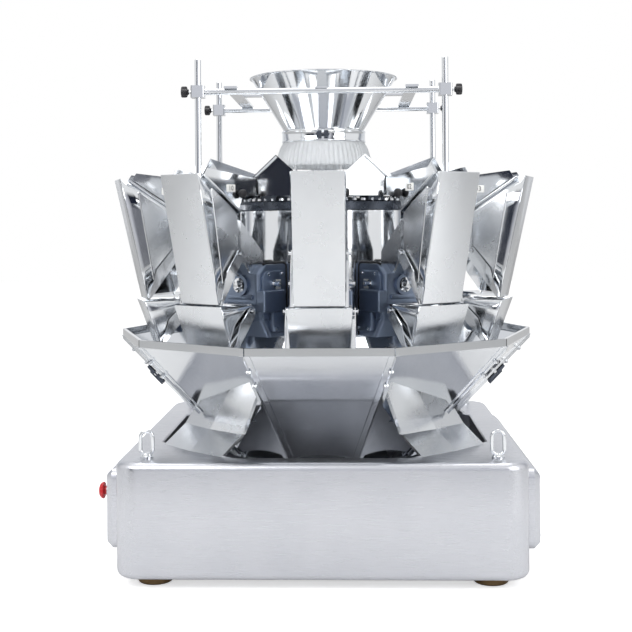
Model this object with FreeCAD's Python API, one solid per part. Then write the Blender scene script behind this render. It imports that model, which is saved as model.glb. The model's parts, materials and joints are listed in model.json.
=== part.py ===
import FreeCAD, Part
import math
import os

# Ten-head combination weigher.  Millimetres, +Z up, Z = 0 on the floor, the vertical axis of
# the head circle on the Z axis, the operator's side towards -Y.  Everything that belongs to one
# head is drawn at the front (azimuth 0) as outlines of (reach, height) points, reach being the
# distance from the machine axis, and is then turned about the axis to its place.

# ---------------------------------------------------------------- driving dimensions
HEADS = 10                    # weighing heads on the circle
PITCH = 360.0 / HEADS         # angle from head to head
RUN_GAP = 0.05                # radial clearance of a running fit
GATE_SEAT_GAP = 1.5           # closed gate to the bottom edge of its hopper

# base cabinet
FOOT_H = 23.0
FOOT_R = 41.0
FOOT_INSET = 85.0             # cabinet side to foot centre
BASE_W = 955.0
BASE_D = 941.0
BASE_H = 268.0
BASE_SKIN = 4.0
BASE_CORNER_R = 58.0
BASE_EDGE_R = 17.0
WELL_MARGIN = 66.0            # cabinet front to the octagonal opening in its top
WELL_CORNER_CUT = 430.0       # machine axis to the cut corners of the opening
COVER_PROUD = 32.0
COVER_L = 780.0
COVER_H = 189.0
COVER_SILL = 49.0             # cabinet bottom to cover bottom
COVER_CORNER_R = 24.0
COVER_SLOPE = 14.0            # set-back of the cover's sloping edge
BUTTON_Z = 201.0
BUTTON_FROM_FRONT = 130.0
BUTTON_R = 20.0
BUTTON_CAP_T = 14.0
BUTTON_STEM_R = 10.0
BUTTON_TRAVEL = 5.0
BUTTON_COLLAR_R = 16.0
BUTTON_COLLAR_T = 6.0
EYE_INSET = 68.0              # cabinet side to lifting eye
EYE_ROD_R = 4.5
EYE_HALF_W = 14.5
EYE_STRAIGHT = 26.0
EYE_COLLAR_R = 13.0
EYE_COLLAR_H = 7.0

# collecting chute: a ten-sided funnel
RIM_R = 546.0                 # corner radius of the rim
RIM_TOP = 558.0
RIM_BAND_H = 18.0
RIM_HEM_T = 8.0
CHUTE_ANGLE = 46.0            # corner line of the funnel above level
CHUTE_T = 2.5
CHUTE_BOTTOM = 245.0
SEAM_W = 12.0                 # folded flange along each side of a panel
SEAM_T = 4.0
SEAM_WEB_T = 3.0              # web plate between two neighbouring panels
SEAM_WEB_PROUD = 9.0

# lower funnel and discharge spout
FUNNEL_FLANGE_T = 4.0
FUNNEL_FLANGE_W = 26.0
FUNNEL_T = 3.0
SPOUT_R = 105.0
SPOUT_TOP = 66.0
SPOUT_BOTTOM = 8.0
SPOUT_COLLAR_W = 30.0
SPOUT_COLLAR_T = 6.0
SPOUT_CLEARANCE = 1.0

# legs: folded plates from the cabinet top through the chute to the drum
LEG_FOOT_REACH = 446.0
LEG_KNEE_REACH = 382.0
LEG_KNEE_Z = 335.0
LEG_TOP_REACH = 234.0
LEG_FOOT_W = 226.0
LEG_TOP_W = 150.0
LEG_T = 6.0
LEG_CREASE = 8.0              # how far the crease stands out of the plate's edges
LEG_GAP = 8.0                 # chute to leg, all round
CUT_FAR_HIGH = 475.0          # window across a panel beside a leg: heights at its far side
CUT_FAR_LOW = 412.0
CUT_LEG_HIGH = 405.0          # and on the leg's side, where its upper corner is cut off
CUT_LEG_CORNER = 387.0
CUT_LEG_LOW = 270.0
CUT_CORNER_W = 31.0

# drum and drive housings
DRUM_R = 228.0
DRUM_T = 4.0
DRUM_BOTTOM = 553.0
DRUM_PLATE_T = 6.0
DRUM_TOP = 870.0
FLANGE_R = 237.0
FLANGE_T = 25.0
HOUSING_REACH = 338.0
HOUSING_HALF_W = 56.0
HOUSING_TOP = 737.0
HOUSING_BOTTOM = 558.0
HOUSING_EDGE_R = 9.0
HOUSING_BEVEL = 22.0          # sloping corner between its top and its face
HOUSING_FACE_H = 96.0         # top to where the face starts to slope in
HOUSING_CHIN_H = 42.0         # underside to where the slope gets steeper
HOUSING_CHIN_IN = 14.0
HOUSING_HEEL_IN = 42.0        # face to the front of the underside
HOUSING_TO_DRUM = 30.0        # casting left inside the drum's curve before it is cut to it
MOTOR_IN_REACH = 257.0        # motor block on each side of the housing
MOTOR_END_REACH = 337.0
MOTOR_LOW_Z = 621.0
MOTOR_HIGH_Z = 675.0
MOTOR_PROUD = 19.0
MOTOR_EDGE_R = 4.0
BOSS_R = 26.0
BOSS_PROUD = 7.0
BOSS_DROP = 50.0              # housing top to the axis of the boss and the feed crank
LOW_SHAFT_RISE = 34.0         # housing underside to the weigh crank's shaft
CRANK_ROOT_IN = 26.0          # housing face to the crank's root inside it

# feed hoppers
HOPPER_T = 2.0
FEED_HALF_W = 59.5
FEED_TOP_REACH = 550.0
FEED_TOP_Z = 952.0
FEED_LIP = 22.0               # level part of the top edge behind the front plate
FEED_TIP_REACH = 482.5
FEED_TIP_Z = 648.0
FEED_BACK_REACH = 404.0
FEED_BACK_TOP = 868.0
FEED_BACK_BOTTOM = 759.0

# weigh hoppers
WEIGH_TOP_HALF_W = 75.5
WEIGH_TIP_HALF_W = 68.0
WEIGH_TOP_REACH = 492.0
WEIGH_TOP_Z = 644.0
WEIGH_TIP_REACH = 452.0
WEIGH_TIP_Z = 534.0
WEIGH_BACK_REACH = 380.0
WEIGH_BACK_BOTTOM = 622.0

# gates and their drive
PIVOT_IN = 7.5                # pivot axis, in from the hopper's back and up from its lower corner
PIN_R = 4.0
PIN_STICK = 14.0              # hinge pin length outside the hopper side
GATE_T = 2.5
GATE_SIDE_GAP = 5.0
GATE_SIDE_H = 27.0
LEVER_HALF_T = 4.0
LEVER_LENGTH = 28.0
ROLLER_R = 8.0
ROLLER_GAP = 5.5              # roller to the gate's lever
ROLLER_HALF_T = 7.0
CRANK_HALF_T = 4.0
CRANK_WIDTH = 16.0
HANGER_AT = 31.0              # hanger plates, sideways from the middle of the head
HANGER_T = 6.0
HANGER_ROOT_IN = 44.0         # housing face to the upper hanger's root on its top
HANGER_ROOT_H = 30.0          # hanger above the housing's top
HANGER_TOP_DROP = 14.0        # hopper's back edge to the hanger's top
HANGER_PAD_H = 44.0           # foot of the upper hanger above the hopper's lower corner
HANGER_PAD_T = 20.0
HANGER_BED = 20.0             # depth of a hanger inside the casting before it is cut to it
LOW_HANGER_DROP = 140.0       # housing top to the lower hanger's foot
LOW_HANGER_PAD = 14.0
LOW_HANGER_STEP = 8.0
LOW_HANGER_CLEAR = 6.0        # hanger above the weigh gate's pivot

# feeders on top of the drum
PAN_HALF_W = 52.0
PAN_T = 2.0
PAN_IN_REACH = 172.0
PAN_END_REACH = 412.0
PAN_FLOOR_IN_Z = 916.0
PAN_FLOOR_END_Z = 902.0
PAN_WALL_Z = 948.0
PAN_LOW_WALL_Z = 932.0
PAN_LIP_REACH = 518.0
PAN_LIP_RISE = 18.0           # end of the pan's side above its inner part
PAN_LIP_BACK = 10.0
PAN_HEEL_REACH = 401.0        # lowest corner of the pan's side plate
PAN_HEEL_BACK = 13.0          # heel to where the side plate meets the floor
PAN_HOPPER_GAP = 5.5          # pan side to the hopper's sloping top edge
PAN_LIP_H = 10.0              # low lip at the inner end of the floor
PAN_STEP = 12.0               # cone rim to where the pan's side starts to rise
PAN_STEP_RUN = 16.0
PAN_CAP_END = 6.0             # end of the ridge cap to where the side rises to its lip
MOUNT_IN_REACH = 196.0
MOUNT_END_REACH = 230.0
MOUNT_HALF_W = 24.0
CAP_IN_REACH = 212.0
CAP_END_REACH = 346.0
CAP_SLOPE = 0.86
CAP_T = 2.5
GABLE_SETBACK = 10.0
GABLE_DROP = 44.0
GABLE_PAN_GAP = 2.0
CONE_R = 195.0
CONE_RIM_Z = 944.0
CONE_RIM_T = 6.0
CONE_RISE = 34.0
CONE_TIP_R = 22.0
CONE_HUB_R = 60.0

# infeed frame
POST_R = 8.0
POST_CIRCLE_R = 380.0
POST_AZIMUTH = 54.0
POST_TOP = 1248.0
POST_ARM_HALF_W = 20.0
POST_ARM_T = 12.0
POST_ARM_END = 14.0           # arm beyond the post's axis
POST_ARM_DROP = 10.0          # drum flange's top to the arm's top
POST_ARM_ROOT = 20.0          # arm left inside the flange's curve before it is cut to it
BAR_R = 7.5
BAR_Z = 1167.0
CLAMP_W = 34.0
CLAMP_H = 30.0
KNOB_R = 14.0
KNOB_T = 15.0
KNOB_STUD = 10.0
KNOB_STUD_R = 4.0
KNOB_LOBES = 5
CROSS_BAR_AT = 225.0
CROSS_BAR_W = 32.0
CROSS_BAR_T = 6.0
CROSS_BAR_END = 16.0
CROSS_BAR_BED = 1.5           # depth of the flat in the round bar
TAB_W = 30.0
TAB_T = 4.0
NECK_R = 107.0
NECK_BOTTOM = 1047.0
NECK_TOP = 1085.0
MOUTH_R = 192.0
MOUTH_Z = 1222.0
SHEET_T = 2.4
MOUTH_LIP_W = 6.0
MOUTH_LIP_H = 4.0
CURTAIN_T = 2.0
CURTAIN_FLARE_R = 128.0
CURTAIN_FLARE_Z = 1012.0
CURTAIN_BOTTOM = 988.0
CURTAIN_TUCK = 4.0            # curtain's top edge below the top of the neck
BAND_T = 3.0
BAND_H = 30.0
LATCH_W = 34.0
LATCH_H = 18.0
LATCH_T = 9.0

# ---------------------------------------------------------------- derived dimensions
BASE_TOP = FOOT_H + BASE_H
BASE_BACK = BASE_D / 2
WELL_HALF = BASE_BACK - WELL_MARGIN
LEG_AZIMUTHS = (45.0, 135.0, 225.0, 315.0)
HEAD_AZIMUTHS = tuple(PITCH * i for i in range(HEADS))
SEAM_AZIMUTHS = tuple(PITCH * (i + 0.5) for i in range(HEADS))
POST_AZIMUTHS = (POST_AZIMUTH, 180 - POST_AZIMUTH, 180 + POST_AZIMUTH, 360 - POST_AZIMUTH)
RIM_FOLD = RIM_TOP - RIM_BAND_H
HALF_PITCH_COS = math.cos(math.radians(PITCH / 2))
HALF_PITCH_TAN = math.tan(math.radians(PITCH / 2))
FLANGE_TOP = DRUM_TOP + FLANGE_T
CURTAIN_TOP = NECK_TOP - CURTAIN_TUCK
BAR_AT = POST_CIRCLE_R * math.cos(math.radians(POST_AZIMUTH))
POST_X = POST_CIRCLE_R * math.sin(math.radians(POST_AZIMUTH))
CROSS_BAR_Z = BAR_Z + BAR_R - CROSS_BAR_BED


# ---------------------------------------------------------------- shape helpers
def vec(x, y, z):
    return FreeCAD.Vector(x, y, z)


def polygon_face(points):
    """Flat face inside a closed outline of straight edges."""
    return Part.Face(Part.makePolygon(points + [points[0]]))


def slab(outline, half, middle=0.0):
    """Plate or block at the front head: an outline of (reach, height), half wide each way."""
    points = [vec(middle - half, -reach, z) for reach, z in outline]
    return polygon_face(points).extrude(vec(2 * half, 0, 0))


def plan_slab(outline, z_low, z_high):
    """Upright prism over a plan outline of (x, y) points."""
    points = [vec(x, y, z_low) for x, y in outline]
    return polygon_face(points).extrude(vec(0, 0, z_high - z_low))


def front_slab(outline, y_near, y_far):
    """Prism carried along Y from an outline of (x, z) points."""
    points = [vec(x, y_near, z) for x, z in outline]
    return polygon_face(points).extrude(vec(0, y_far - y_near, 0))


def disc(radius, z_low, z_high):
    return Part.makeCylinder(radius, z_high - z_low, vec(0, 0, z_low))


def cross_pin(reach, z, radius, x_from, x_to):
    """Round pin across the front head, along X."""
    return Part.makeCylinder(radius, x_to - x_from, vec(x_from, -reach, z), vec(1, 0, 0))


def revolved(outline):
    """Ring or disc from an outline of (radius, height) points."""
    points = [vec(radius, 0, z) for radius, z in outline]
    return polygon_face(points).revolve(vec(0, 0, 0), vec(0, 0, 1), 360)


def turned(shape, azimuth):
    """Copy of a front shape, turned about the machine axis."""
    copy = shape.copy()
    copy.rotate(vec(0, 0, 0), vec(0, 0, 1), azimuth)
    return copy


def around(shape, azimuths):
    return Part.makeCompound([turned(shape, azimuth) for azimuth in azimuths])


def joined(first, *others):
    """One solid from shapes that share volume or faces."""
    return first.fuse(list(others)).removeSplitter()


def mirrored_pair(shape):
    return Part.makeCompound([shape, shape.mirror(vec(0, 0, 0), vec(1, 0, 0))])


def offset_point(start, end, along, aside):
    """Point at a distance along the line start-end and aside to its left, in (reach, height)."""
    length = math.hypot(end[0] - start[0], end[1] - start[1])
    ux, uz = (end[0] - start[0]) / length, (end[1] - start[1]) / length
    return start[0] + ux * along - uz * aside, start[1] + uz * along + ux * aside


# ---------------------------------------------------------------- base cabinet
def cabinet_block(inset):
    """Cabinet outside, or the space inside it when inset by the skin."""
    width, depth = BASE_W - 2 * inset, BASE_D - 2 * inset
    corner = vec(-width / 2, -depth / 2, FOOT_H + inset)
    block = Part.makeBox(width, depth, BASE_H - 2 * inset, corner)
    upright = [e for e in block.Edges if abs(e.tangentAt(e.FirstParameter).z) > 0.9]
    block = block.makeFillet(BASE_CORNER_R - inset, upright)
    level = [e for e in block.Edges if abs(e.BoundBox.ZLength) < 0.01]
    return block.makeFillet(BASE_EDGE_R - inset, level)


def octagon(half, corner_cut):
    """Square outline with its corners cut at a distance from the axis."""
    short = corner_cut * math.sqrt(2) - half
    eighth = [(half, -short), (half, short), (short, half), (-short, half)]
    return eighth + [(-x, -y) for x, y in eighth]


def well_prism(grow, z_low, z_high):
    return plan_slab(octagon(WELL_HALF + grow, WELL_CORNER_CUT + grow), z_low, z_high)


def below_seam(z_low, z_high):
    """Slice of the cabinet's room, used to part its floor from its walls."""
    return Part.makeBox(2 * BASE_W, 2 * BASE_D, z_high - z_low, vec(-BASE_W, -BASE_D, z_low))


def base_shell():
    """Walls and top of the cabinet, welded round the edge of its floor."""
    shell = cabinet_block(0).cut(cabinet_block(BASE_SKIN))
    top_opening = well_prism(0, BASE_TOP - 2 * BASE_SKIN, BASE_TOP + BASE_SKIN)
    return shell.cut([top_opening, below_seam(0, FOOT_H + BASE_SKIN)])


def base_floor():
    """Floor sheet of the cabinet with the hole for the spout."""
    spout_hole = disc(SPOUT_R + SPOUT_CLEARANCE, 0, FOOT_H + 2 * BASE_SKIN)
    return cabinet_block(0).cut([below_seam(FOOT_H + BASE_SKIN, BASE_TOP + BASE_SKIN), spout_hole])


def base_well():
    """Octagonal wall that closes the cabinet's inside off from the chute."""
    low, high = FOOT_H + BASE_SKIN, BASE_TOP - BASE_SKIN
    return well_prism(BASE_SKIN, low, high).cut(well_prism(0, low - 1, high + 1))


def base_feet():
    x, y = BASE_W / 2 - FOOT_INSET, BASE_D / 2 - FOOT_INSET
    return Part.makeCompound([
        Part.makeCylinder(FOOT_R, FOOT_H, vec(sx * x, sy * y, 0))
        for sx in (-1, 1) for sy in (-1, 1)])


def side_covers():
    """Proud cover plates on the left and right, with a sloping outer edge."""
    z_low = FOOT_H + COVER_SILL
    inner = BASE_W / 2
    plate = Part.makeBox(COVER_PROUD, COVER_L, COVER_H, vec(inner, -COVER_L / 2, z_low))
    across = [e for e in plate.Edges if abs(e.tangentAt(e.FirstParameter).x) > 0.9]
    plate = plate.makeFillet(COVER_CORNER_R, across)
    outer = [e for e in plate.Edges if e.BoundBox.XMin > inner + COVER_PROUD - 0.01]
    return mirrored_pair(plate.makeChamfer(COVER_SLOPE, outer))


def eye_bolts():
    """Lifting eyes: an upright oval ring on a round collar."""
    x, y = BASE_W / 2 - EYE_INSET, BASE_D / 2 - EYE_INSET
    low = BASE_TOP + EYE_COLLAR_H + EYE_HALF_W
    high = low + EYE_STRAIGHT
    left, right = -EYE_HALF_W, EYE_HALF_W
    path = Part.Wire([
        Part.makeLine(vec(right, 0, low), vec(right, 0, high)),
        Part.Arc(vec(right, 0, high), vec(0, 0, high + EYE_HALF_W), vec(left, 0, high)).toShape(),
        Part.makeLine(vec(left, 0, high), vec(left, 0, low)),
        Part.Arc(vec(left, 0, low), vec(0, 0, low - EYE_HALF_W), vec(right, 0, low)).toShape()])
    section = Part.Wire([Part.makeCircle(EYE_ROD_R, vec(right, 0, low), vec(0, 0, 1))])
    ring = path.makePipeShell([section], True, True)
    collar = disc(EYE_COLLAR_R, BASE_TOP, BASE_TOP + EYE_COLLAR_H)
    eye = joined(collar, ring)
    bolts = []
    for sx in (-1, 1):
        for sy in (-1, 1):
            bolt = eye.copy()
            bolt.translate(vec(sx * x, sy * y, 0))
            bolts.append(bolt)
    return Part.makeCompound(bolts)


def button_rod(radius, out_from, out_to):
    """Cylinder on the stop button's axis, by distance out of the left cover's face."""
    face_x = -BASE_W / 2 - COVER_PROUD
    start = vec(face_x - out_to, -BASE_D / 2 + BUTTON_FROM_FRONT, BUTTON_Z)
    return Part.makeCylinder(radius, out_to - out_from, start, vec(1, 0, 0))


def stop_button_collar():
    collar = button_rod(BUTTON_COLLAR_R, 0, BUTTON_COLLAR_T)
    return collar.cut(button_rod(BUTTON_STEM_R + RUN_GAP, -1, BUTTON_COLLAR_T + 1))


def stop_button():
    """Mushroom head on its stem, standing off the collar by its travel and a little more."""
    under = BUTTON_COLLAR_T + BUTTON_TRAVEL + 1
    cap = button_rod(BUTTON_R, under, under + BUTTON_CAP_T)
    rim = [e for e in cap.Edges if e.BoundBox.XLength < 0.01 and e.BoundBox.XMin < cap.BoundBox.XMin + 1]
    cap = cap.makeFillet(BUTTON_CAP_T * 0.6, rim)
    return joined(cap, button_rod(BUTTON_STEM_R, 0.5 + BUTTON_TRAVEL, under))


# ---------------------------------------------------------------- legs
def leg_section(reach, z, half_w, thickness, crease):
    """Shallow V across the leg, crease outwards, at the front azimuth."""
    outer = [(-half_w, reach), (0, reach + crease), (half_w, reach)]
    inner = [(x, r - thickness) for x, r in reversed(outer)]
    points = [vec(x, -r, z) for x, r in outer + inner]
    return Part.makePolygon(points + [points[0]])


def leg_body(gap, top_z):
    """Leg at the front azimuth; with a gap it is the room that the chute leaves round it."""
    rise = DRUM_BOTTOM - LEG_KNEE_Z
    share = (top_z - LEG_KNEE_Z) / rise
    top_reach = LEG_KNEE_REACH + (LEG_TOP_REACH - LEG_KNEE_REACH) * share
    top_w = LEG_FOOT_W + (LEG_TOP_W - LEG_FOOT_W) * share
    stations = ((LEG_FOOT_REACH, BASE_TOP, LEG_FOOT_W), (LEG_KNEE_REACH, LEG_KNEE_Z, LEG_FOOT_W),
                (top_reach, top_z, top_w))
    run_t = LEG_T * 2.0 + 2 * gap * 1.6
    sections = [leg_section(reach + gap * 1.6, z, width / 2 + gap, run_t if gap else LEG_T * 1.8, LEG_CREASE)
                for reach, z, width in stations]
    return Part.makeLoft(sections, True, True)


def support_legs():
    return around(leg_body(0, DRUM_BOTTOM), LEG_AZIMUTHS)


def leg_room():
    return around(leg_body(LEG_GAP, RIM_FOLD), LEG_AZIMUTHS)


# ---------------------------------------------------------------- collecting chute
def corner_reach(z):
    """Corner radius of the ten-sided funnel's outside at a height below the rim band."""
    return RIM_R - (RIM_FOLD - z) / math.tan(math.radians(CHUTE_ANGLE))


def flat_reach(z):
    """Distance from the axis to the flat of a panel."""
    return corner_reach(z) * HALF_PITCH_COS


def sector(gap):
    """Wedge of one head's share of the circle, drawn in from its side planes by a gap."""
    apex = gap / math.sin(math.radians(PITCH / 2))
    far = RIM_R + SEAM_WEB_PROUD
    half = (far - apex) * HALF_PITCH_TAN
    return plan_slab([(0, -apex), (half, -far), (-half, -far)], CHUTE_BOTTOM - 1, RIM_TOP + 1)


def panel_profile(outward, thickness):
    """Sloping strip of a panel, as (reach, height) points."""
    low, high = flat_reach(CHUTE_BOTTOM) + outward, flat_reach(RIM_FOLD) + outward
    return [(low - thickness, CHUTE_BOTTOM), (low, CHUTE_BOTTOM), (high, RIM_FOLD), (high - thickness, RIM_FOLD)]


def chute_panel():
    """Trapezoid sheet with a hemmed rim band and a folded flange down each side."""
    wide = RIM_R
    level_t = CHUTE_T / math.sin(math.radians(CHUTE_ANGLE))
    sheet = slab(panel_profile(0, level_t), wide)
    flat = flat_reach(RIM_FOLD)
    band = slab([(flat - RIM_HEM_T, RIM_FOLD), (flat, RIM_FOLD), (flat, RIM_TOP), (flat - RIM_HEM_T, RIM_TOP)], wide)
    half_web = SEAM_WEB_T / 2
    plate = sheet.fuse(band).common(sector(half_web))
    flange = slab(panel_profile(SEAM_T, SEAM_T), wide)
    flange = flange.common(sector(half_web)).cut(sector(half_web + SEAM_W))
    return joined(plate, flange)


def corner_window(sign):
    """Slanting window across a panel beside a leg, between the panel's two folded flanges."""
    def edge(z):
        return flat_reach(z) * HALF_PITCH_TAN - SEAM_W - SEAM_WEB_T / 2

    outline = [(-edge(CUT_FAR_LOW), CUT_FAR_LOW), (edge(CUT_LEG_LOW), CUT_LEG_LOW),
               (edge(CUT_LEG_CORNER), CUT_LEG_CORNER), (edge(CUT_LEG_HIGH) - CUT_CORNER_W, CUT_LEG_HIGH),
               (-edge(CUT_FAR_HIGH), CUT_FAR_HIGH)]
    return front_slab([(sign * side, z) for side, z in outline], -RIM_R, 0)


def corner_panels(heads, room):
    """Panels beside the legs; each window slopes down towards its leg."""
    panels = []
    for azimuth in (head * PITCH for head in heads):
        nearest = min(LEG_AZIMUTHS, key=lambda leg: abs(leg - azimuth))
        sign = 1 if nearest > azimuth else -1
        panel = chute_panel().cut(corner_window(sign))
        panels.append(turned(panel, azimuth).cut(room))
    return Part.makeCompound(panels)


def seam_web(room, azimuth):
    """Upright plate that fills the gap between two panels and stands out of it."""
    level_t = CHUTE_T / math.sin(math.radians(CHUTE_ANGLE))
    low, high = corner_reach(CHUTE_BOTTOM), corner_reach(RIM_FOLD)
    inner, outer = -level_t, SEAM_WEB_PROUD
    outline = [(low + inner, CHUTE_BOTTOM), (low + outer, CHUTE_BOTTOM), (high, RIM_FOLD - outer),
               (high, RIM_FOLD), (high + inner, RIM_FOLD)]
    return turned(slab(outline, SEAM_WEB_T / 2), azimuth).cut(room)


def lower_funnel():
    """Flanged cone under the chute, down to the spout."""
    mouth = corner_reach(CHUTE_BOTTOM) + SEAM_WEB_PROUD
    top = CHUTE_BOTTOM - FUNNEL_FLANGE_T
    neck = mouth - FUNNEL_FLANGE_W
    return revolved([
        (neck, top), (mouth, top), (mouth, CHUTE_BOTTOM), (neck - FUNNEL_T, CHUTE_BOTTOM),
        (neck - FUNNEL_T, top), (SPOUT_R - FUNNEL_T, SPOUT_TOP), (SPOUT_R, SPOUT_TOP)])


def spout_tube():
    """Round spout under the cone; its collar lies on the cabinet's floor."""
    collar_low = FOOT_H + BASE_SKIN
    collar_r = SPOUT_R + SPOUT_COLLAR_W
    return revolved([
        (SPOUT_R - FUNNEL_T, SPOUT_BOTTOM), (SPOUT_R, SPOUT_BOTTOM), (SPOUT_R, collar_low), (collar_r, collar_low),
        (collar_r, collar_low + SPOUT_COLLAR_T), (SPOUT_R, collar_low + SPOUT_COLLAR_T), (SPOUT_R, SPOUT_TOP),
        (SPOUT_R - FUNNEL_T, SPOUT_TOP)])


# ---------------------------------------------------------------- drum and drives
def drum_body():
    top = DRUM_TOP
    return revolved([
        (0, DRUM_BOTTOM), (DRUM_R + DRUM_PLATE_T, DRUM_BOTTOM),
        (DRUM_R + DRUM_PLATE_T, DRUM_BOTTOM + DRUM_PLATE_T), (DRUM_R, DRUM_BOTTOM + DRUM_PLATE_T),
        (DRUM_R, top), (DRUM_R - DRUM_T, top), (DRUM_R - DRUM_T, DRUM_BOTTOM + DRUM_PLATE_T),
        (0, DRUM_BOTTOM + DRUM_PLATE_T)])


def drum_room():
    """What the drum and its bottom plate take up, for the castings that are bolted to it."""
    plate = disc(DRUM_R + DRUM_PLATE_T, 0, DRUM_BOTTOM + DRUM_PLATE_T)
    return disc(DRUM_R, 0, DRUM_TOP).fuse(plate)


def drum_flange():
    return disc(FLANGE_R, DRUM_TOP, FLANGE_TOP)


def motor_blocks():
    """Cast block that carries the motor, proud of both sides of the housing."""
    outline = [(MOTOR_IN_REACH, MOTOR_LOW_Z), (MOTOR_END_REACH, MOTOR_LOW_Z), (MOTOR_END_REACH, MOTOR_HIGH_Z),
               (MOTOR_IN_REACH, MOTOR_HIGH_Z)]
    block = slab(outline, HOUSING_HALF_W + MOTOR_PROUD)
    return block.makeFillet(MOTOR_EDGE_R, block.Edges)


def drive_housing():
    """Cast box on the drum's side with a sloping face, a bearing boss and a motor block each side."""
    face, back = HOUSING_REACH, DRUM_R - HOUSING_TO_DRUM
    outline = [(back, HOUSING_TOP), (face - HOUSING_BEVEL, HOUSING_TOP), (face, HOUSING_TOP - HOUSING_BEVEL),
               (face, HOUSING_TOP - HOUSING_FACE_H), (face - HOUSING_CHIN_IN, HOUSING_BOTTOM + HOUSING_CHIN_H),
               (face - HOUSING_HEEL_IN, HOUSING_BOTTOM), (back, HOUSING_BOTTOM)]
    block = slab(outline, HOUSING_HALF_W)
    edges = [e for e in block.Edges
             if abs(abs(e.BoundBox.XMin) - HOUSING_HALF_W) < 0.01 and e.BoundBox.XLength < 0.01
             and e.BoundBox.YMin < -DRUM_R - 5 and e.BoundBox.YMax < -DRUM_R]
    block = block.makeFillet(HOUSING_EDGE_R, edges)
    boss_root = vec(0, BOSS_R - face, HOUSING_TOP - BOSS_DROP)
    boss = Part.makeCylinder(BOSS_R, BOSS_R + BOSS_PROUD, boss_root, vec(0, -1, 0))
    return joined(block, boss, motor_blocks()).cut(drum_room())


def feed_pivot():
    return FEED_BACK_REACH + PIVOT_IN, FEED_BACK_BOTTOM + PIVOT_IN


def weigh_pivot():
    return WEIGH_BACK_REACH + PIVOT_IN, WEIGH_BACK_BOTTOM + PIVOT_IN


def lever_tip(low_corner, tip):
    """End of the gate's lever, which stands straight out of the plate, away from the hopper."""
    return offset_point(low_corner, tip, -PIVOT_IN, -LEVER_LENGTH)


def crank(low_corner, tip, housing_z):
    """Crank arm from the housing face with the roller that lifts the gate's lever."""
    end = lever_tip(low_corner, tip)
    roller_at = (end[0] - (ROLLER_R + ROLLER_GAP) * 0.7, end[1] - (ROLLER_R + ROLLER_GAP) * 0.95)
    root = (HOUSING_REACH - CRANK_ROOT_IN, housing_z)
    length = math.hypot(roller_at[0] - root[0], roller_at[1] - root[1])
    half = CRANK_WIDTH / 2
    arm = slab([offset_point(root, roller_at, 0, half), offset_point(root, roller_at, length, half * 0.6),
                offset_point(root, roller_at, length, -half * 0.6), offset_point(root, roller_at, 0, -half)],
               CRANK_HALF_T)
    roller = cross_pin(roller_at[0], roller_at[1], ROLLER_R, -ROLLER_HALF_T, ROLLER_HALF_T)
    return joined(arm, roller)


# ---------------------------------------------------------------- hoppers and gates
def hopper_shell(outer, half_top, half_tip, z_top, z_tip):
    """Sheet hopper open at its top and along its sloping bottom.

    outer: top front, (top edge...), back top, back bottom and front tip, as (reach, height).
    """
    def wedge(half_a, half_b):
        slope = (half_a - half_b) / (z_top - z_tip)
        low_z, high_z = z_tip - 50, z_top + 50
        low, high = half_b - 50 * slope, half_a + 50 * slope
        return front_slab([(-low, low_z), (low, low_z), (high, high_z), (-high, high_z)], -RIM_R - 50, 0)

    front_top, front_tip = outer[0], outer[-1]
    back = outer[-2][0]
    level_t = HOPPER_T / math.sin(math.atan2(front_top[1] - front_tip[1], front_top[0] - front_tip[0]))
    slope = (front_top[0] - front_tip[0]) / (front_top[1] - front_tip[1])
    over = 60.0
    inside = [(back + HOPPER_T, front_tip[1] - over), (front_tip[0] - level_t - over * slope, front_tip[1] - over),
              (front_top[0] - level_t + over * slope, front_top[1] + over), (back + HOPPER_T, front_top[1] + over)]
    body = slab(outer, half_top).common(wedge(half_top, half_tip))
    hollow = slab(inside, half_top).common(wedge(half_top - HOPPER_T, half_tip - HOPPER_T))
    return body.cut(hollow)


def hinge_pins(pivot, half_inner):
    """Stub pins that stand out of both hopper sides and carry the gate."""
    reach, z = pivot
    right = cross_pin(reach, z, PIN_R, half_inner, half_inner + HOPPER_T / 2 + PIN_STICK)
    return [right, right.mirror(vec(0, 0, 0), vec(1, 0, 0))]


def feed_outline():
    return [(FEED_TOP_REACH, FEED_TOP_Z), (FEED_TOP_REACH - FEED_LIP, FEED_TOP_Z),
            (FEED_BACK_REACH, FEED_BACK_TOP), (FEED_BACK_REACH, FEED_BACK_BOTTOM), (FEED_TIP_REACH, FEED_TIP_Z)]


def feed_hopper():
    shell = hopper_shell(feed_outline(), FEED_HALF_W, FEED_HALF_W, FEED_TOP_Z, FEED_TIP_Z)
    return joined(shell, *hinge_pins(feed_pivot(), FEED_HALF_W - HOPPER_T / 2))


def weigh_half_at(z):
    share = (z - WEIGH_TIP_Z) / (WEIGH_TOP_Z - WEIGH_TIP_Z)
    return WEIGH_TIP_HALF_W + (WEIGH_TOP_HALF_W - WEIGH_TIP_HALF_W) * share


def weigh_hopper():
    outline = [(WEIGH_TOP_REACH, WEIGH_TOP_Z), (WEIGH_BACK_REACH, WEIGH_TOP_Z),
               (WEIGH_BACK_REACH, WEIGH_BACK_BOTTOM), (WEIGH_TIP_REACH, WEIGH_TIP_Z)]
    shell = hopper_shell(outline, WEIGH_TOP_HALF_W, WEIGH_TIP_HALF_W, WEIGH_TOP_Z, WEIGH_TIP_Z)
    pivot = weigh_pivot()
    return joined(shell, *hinge_pins(pivot, weigh_half_at(pivot[1]) - HOPPER_T / 2))


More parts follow.
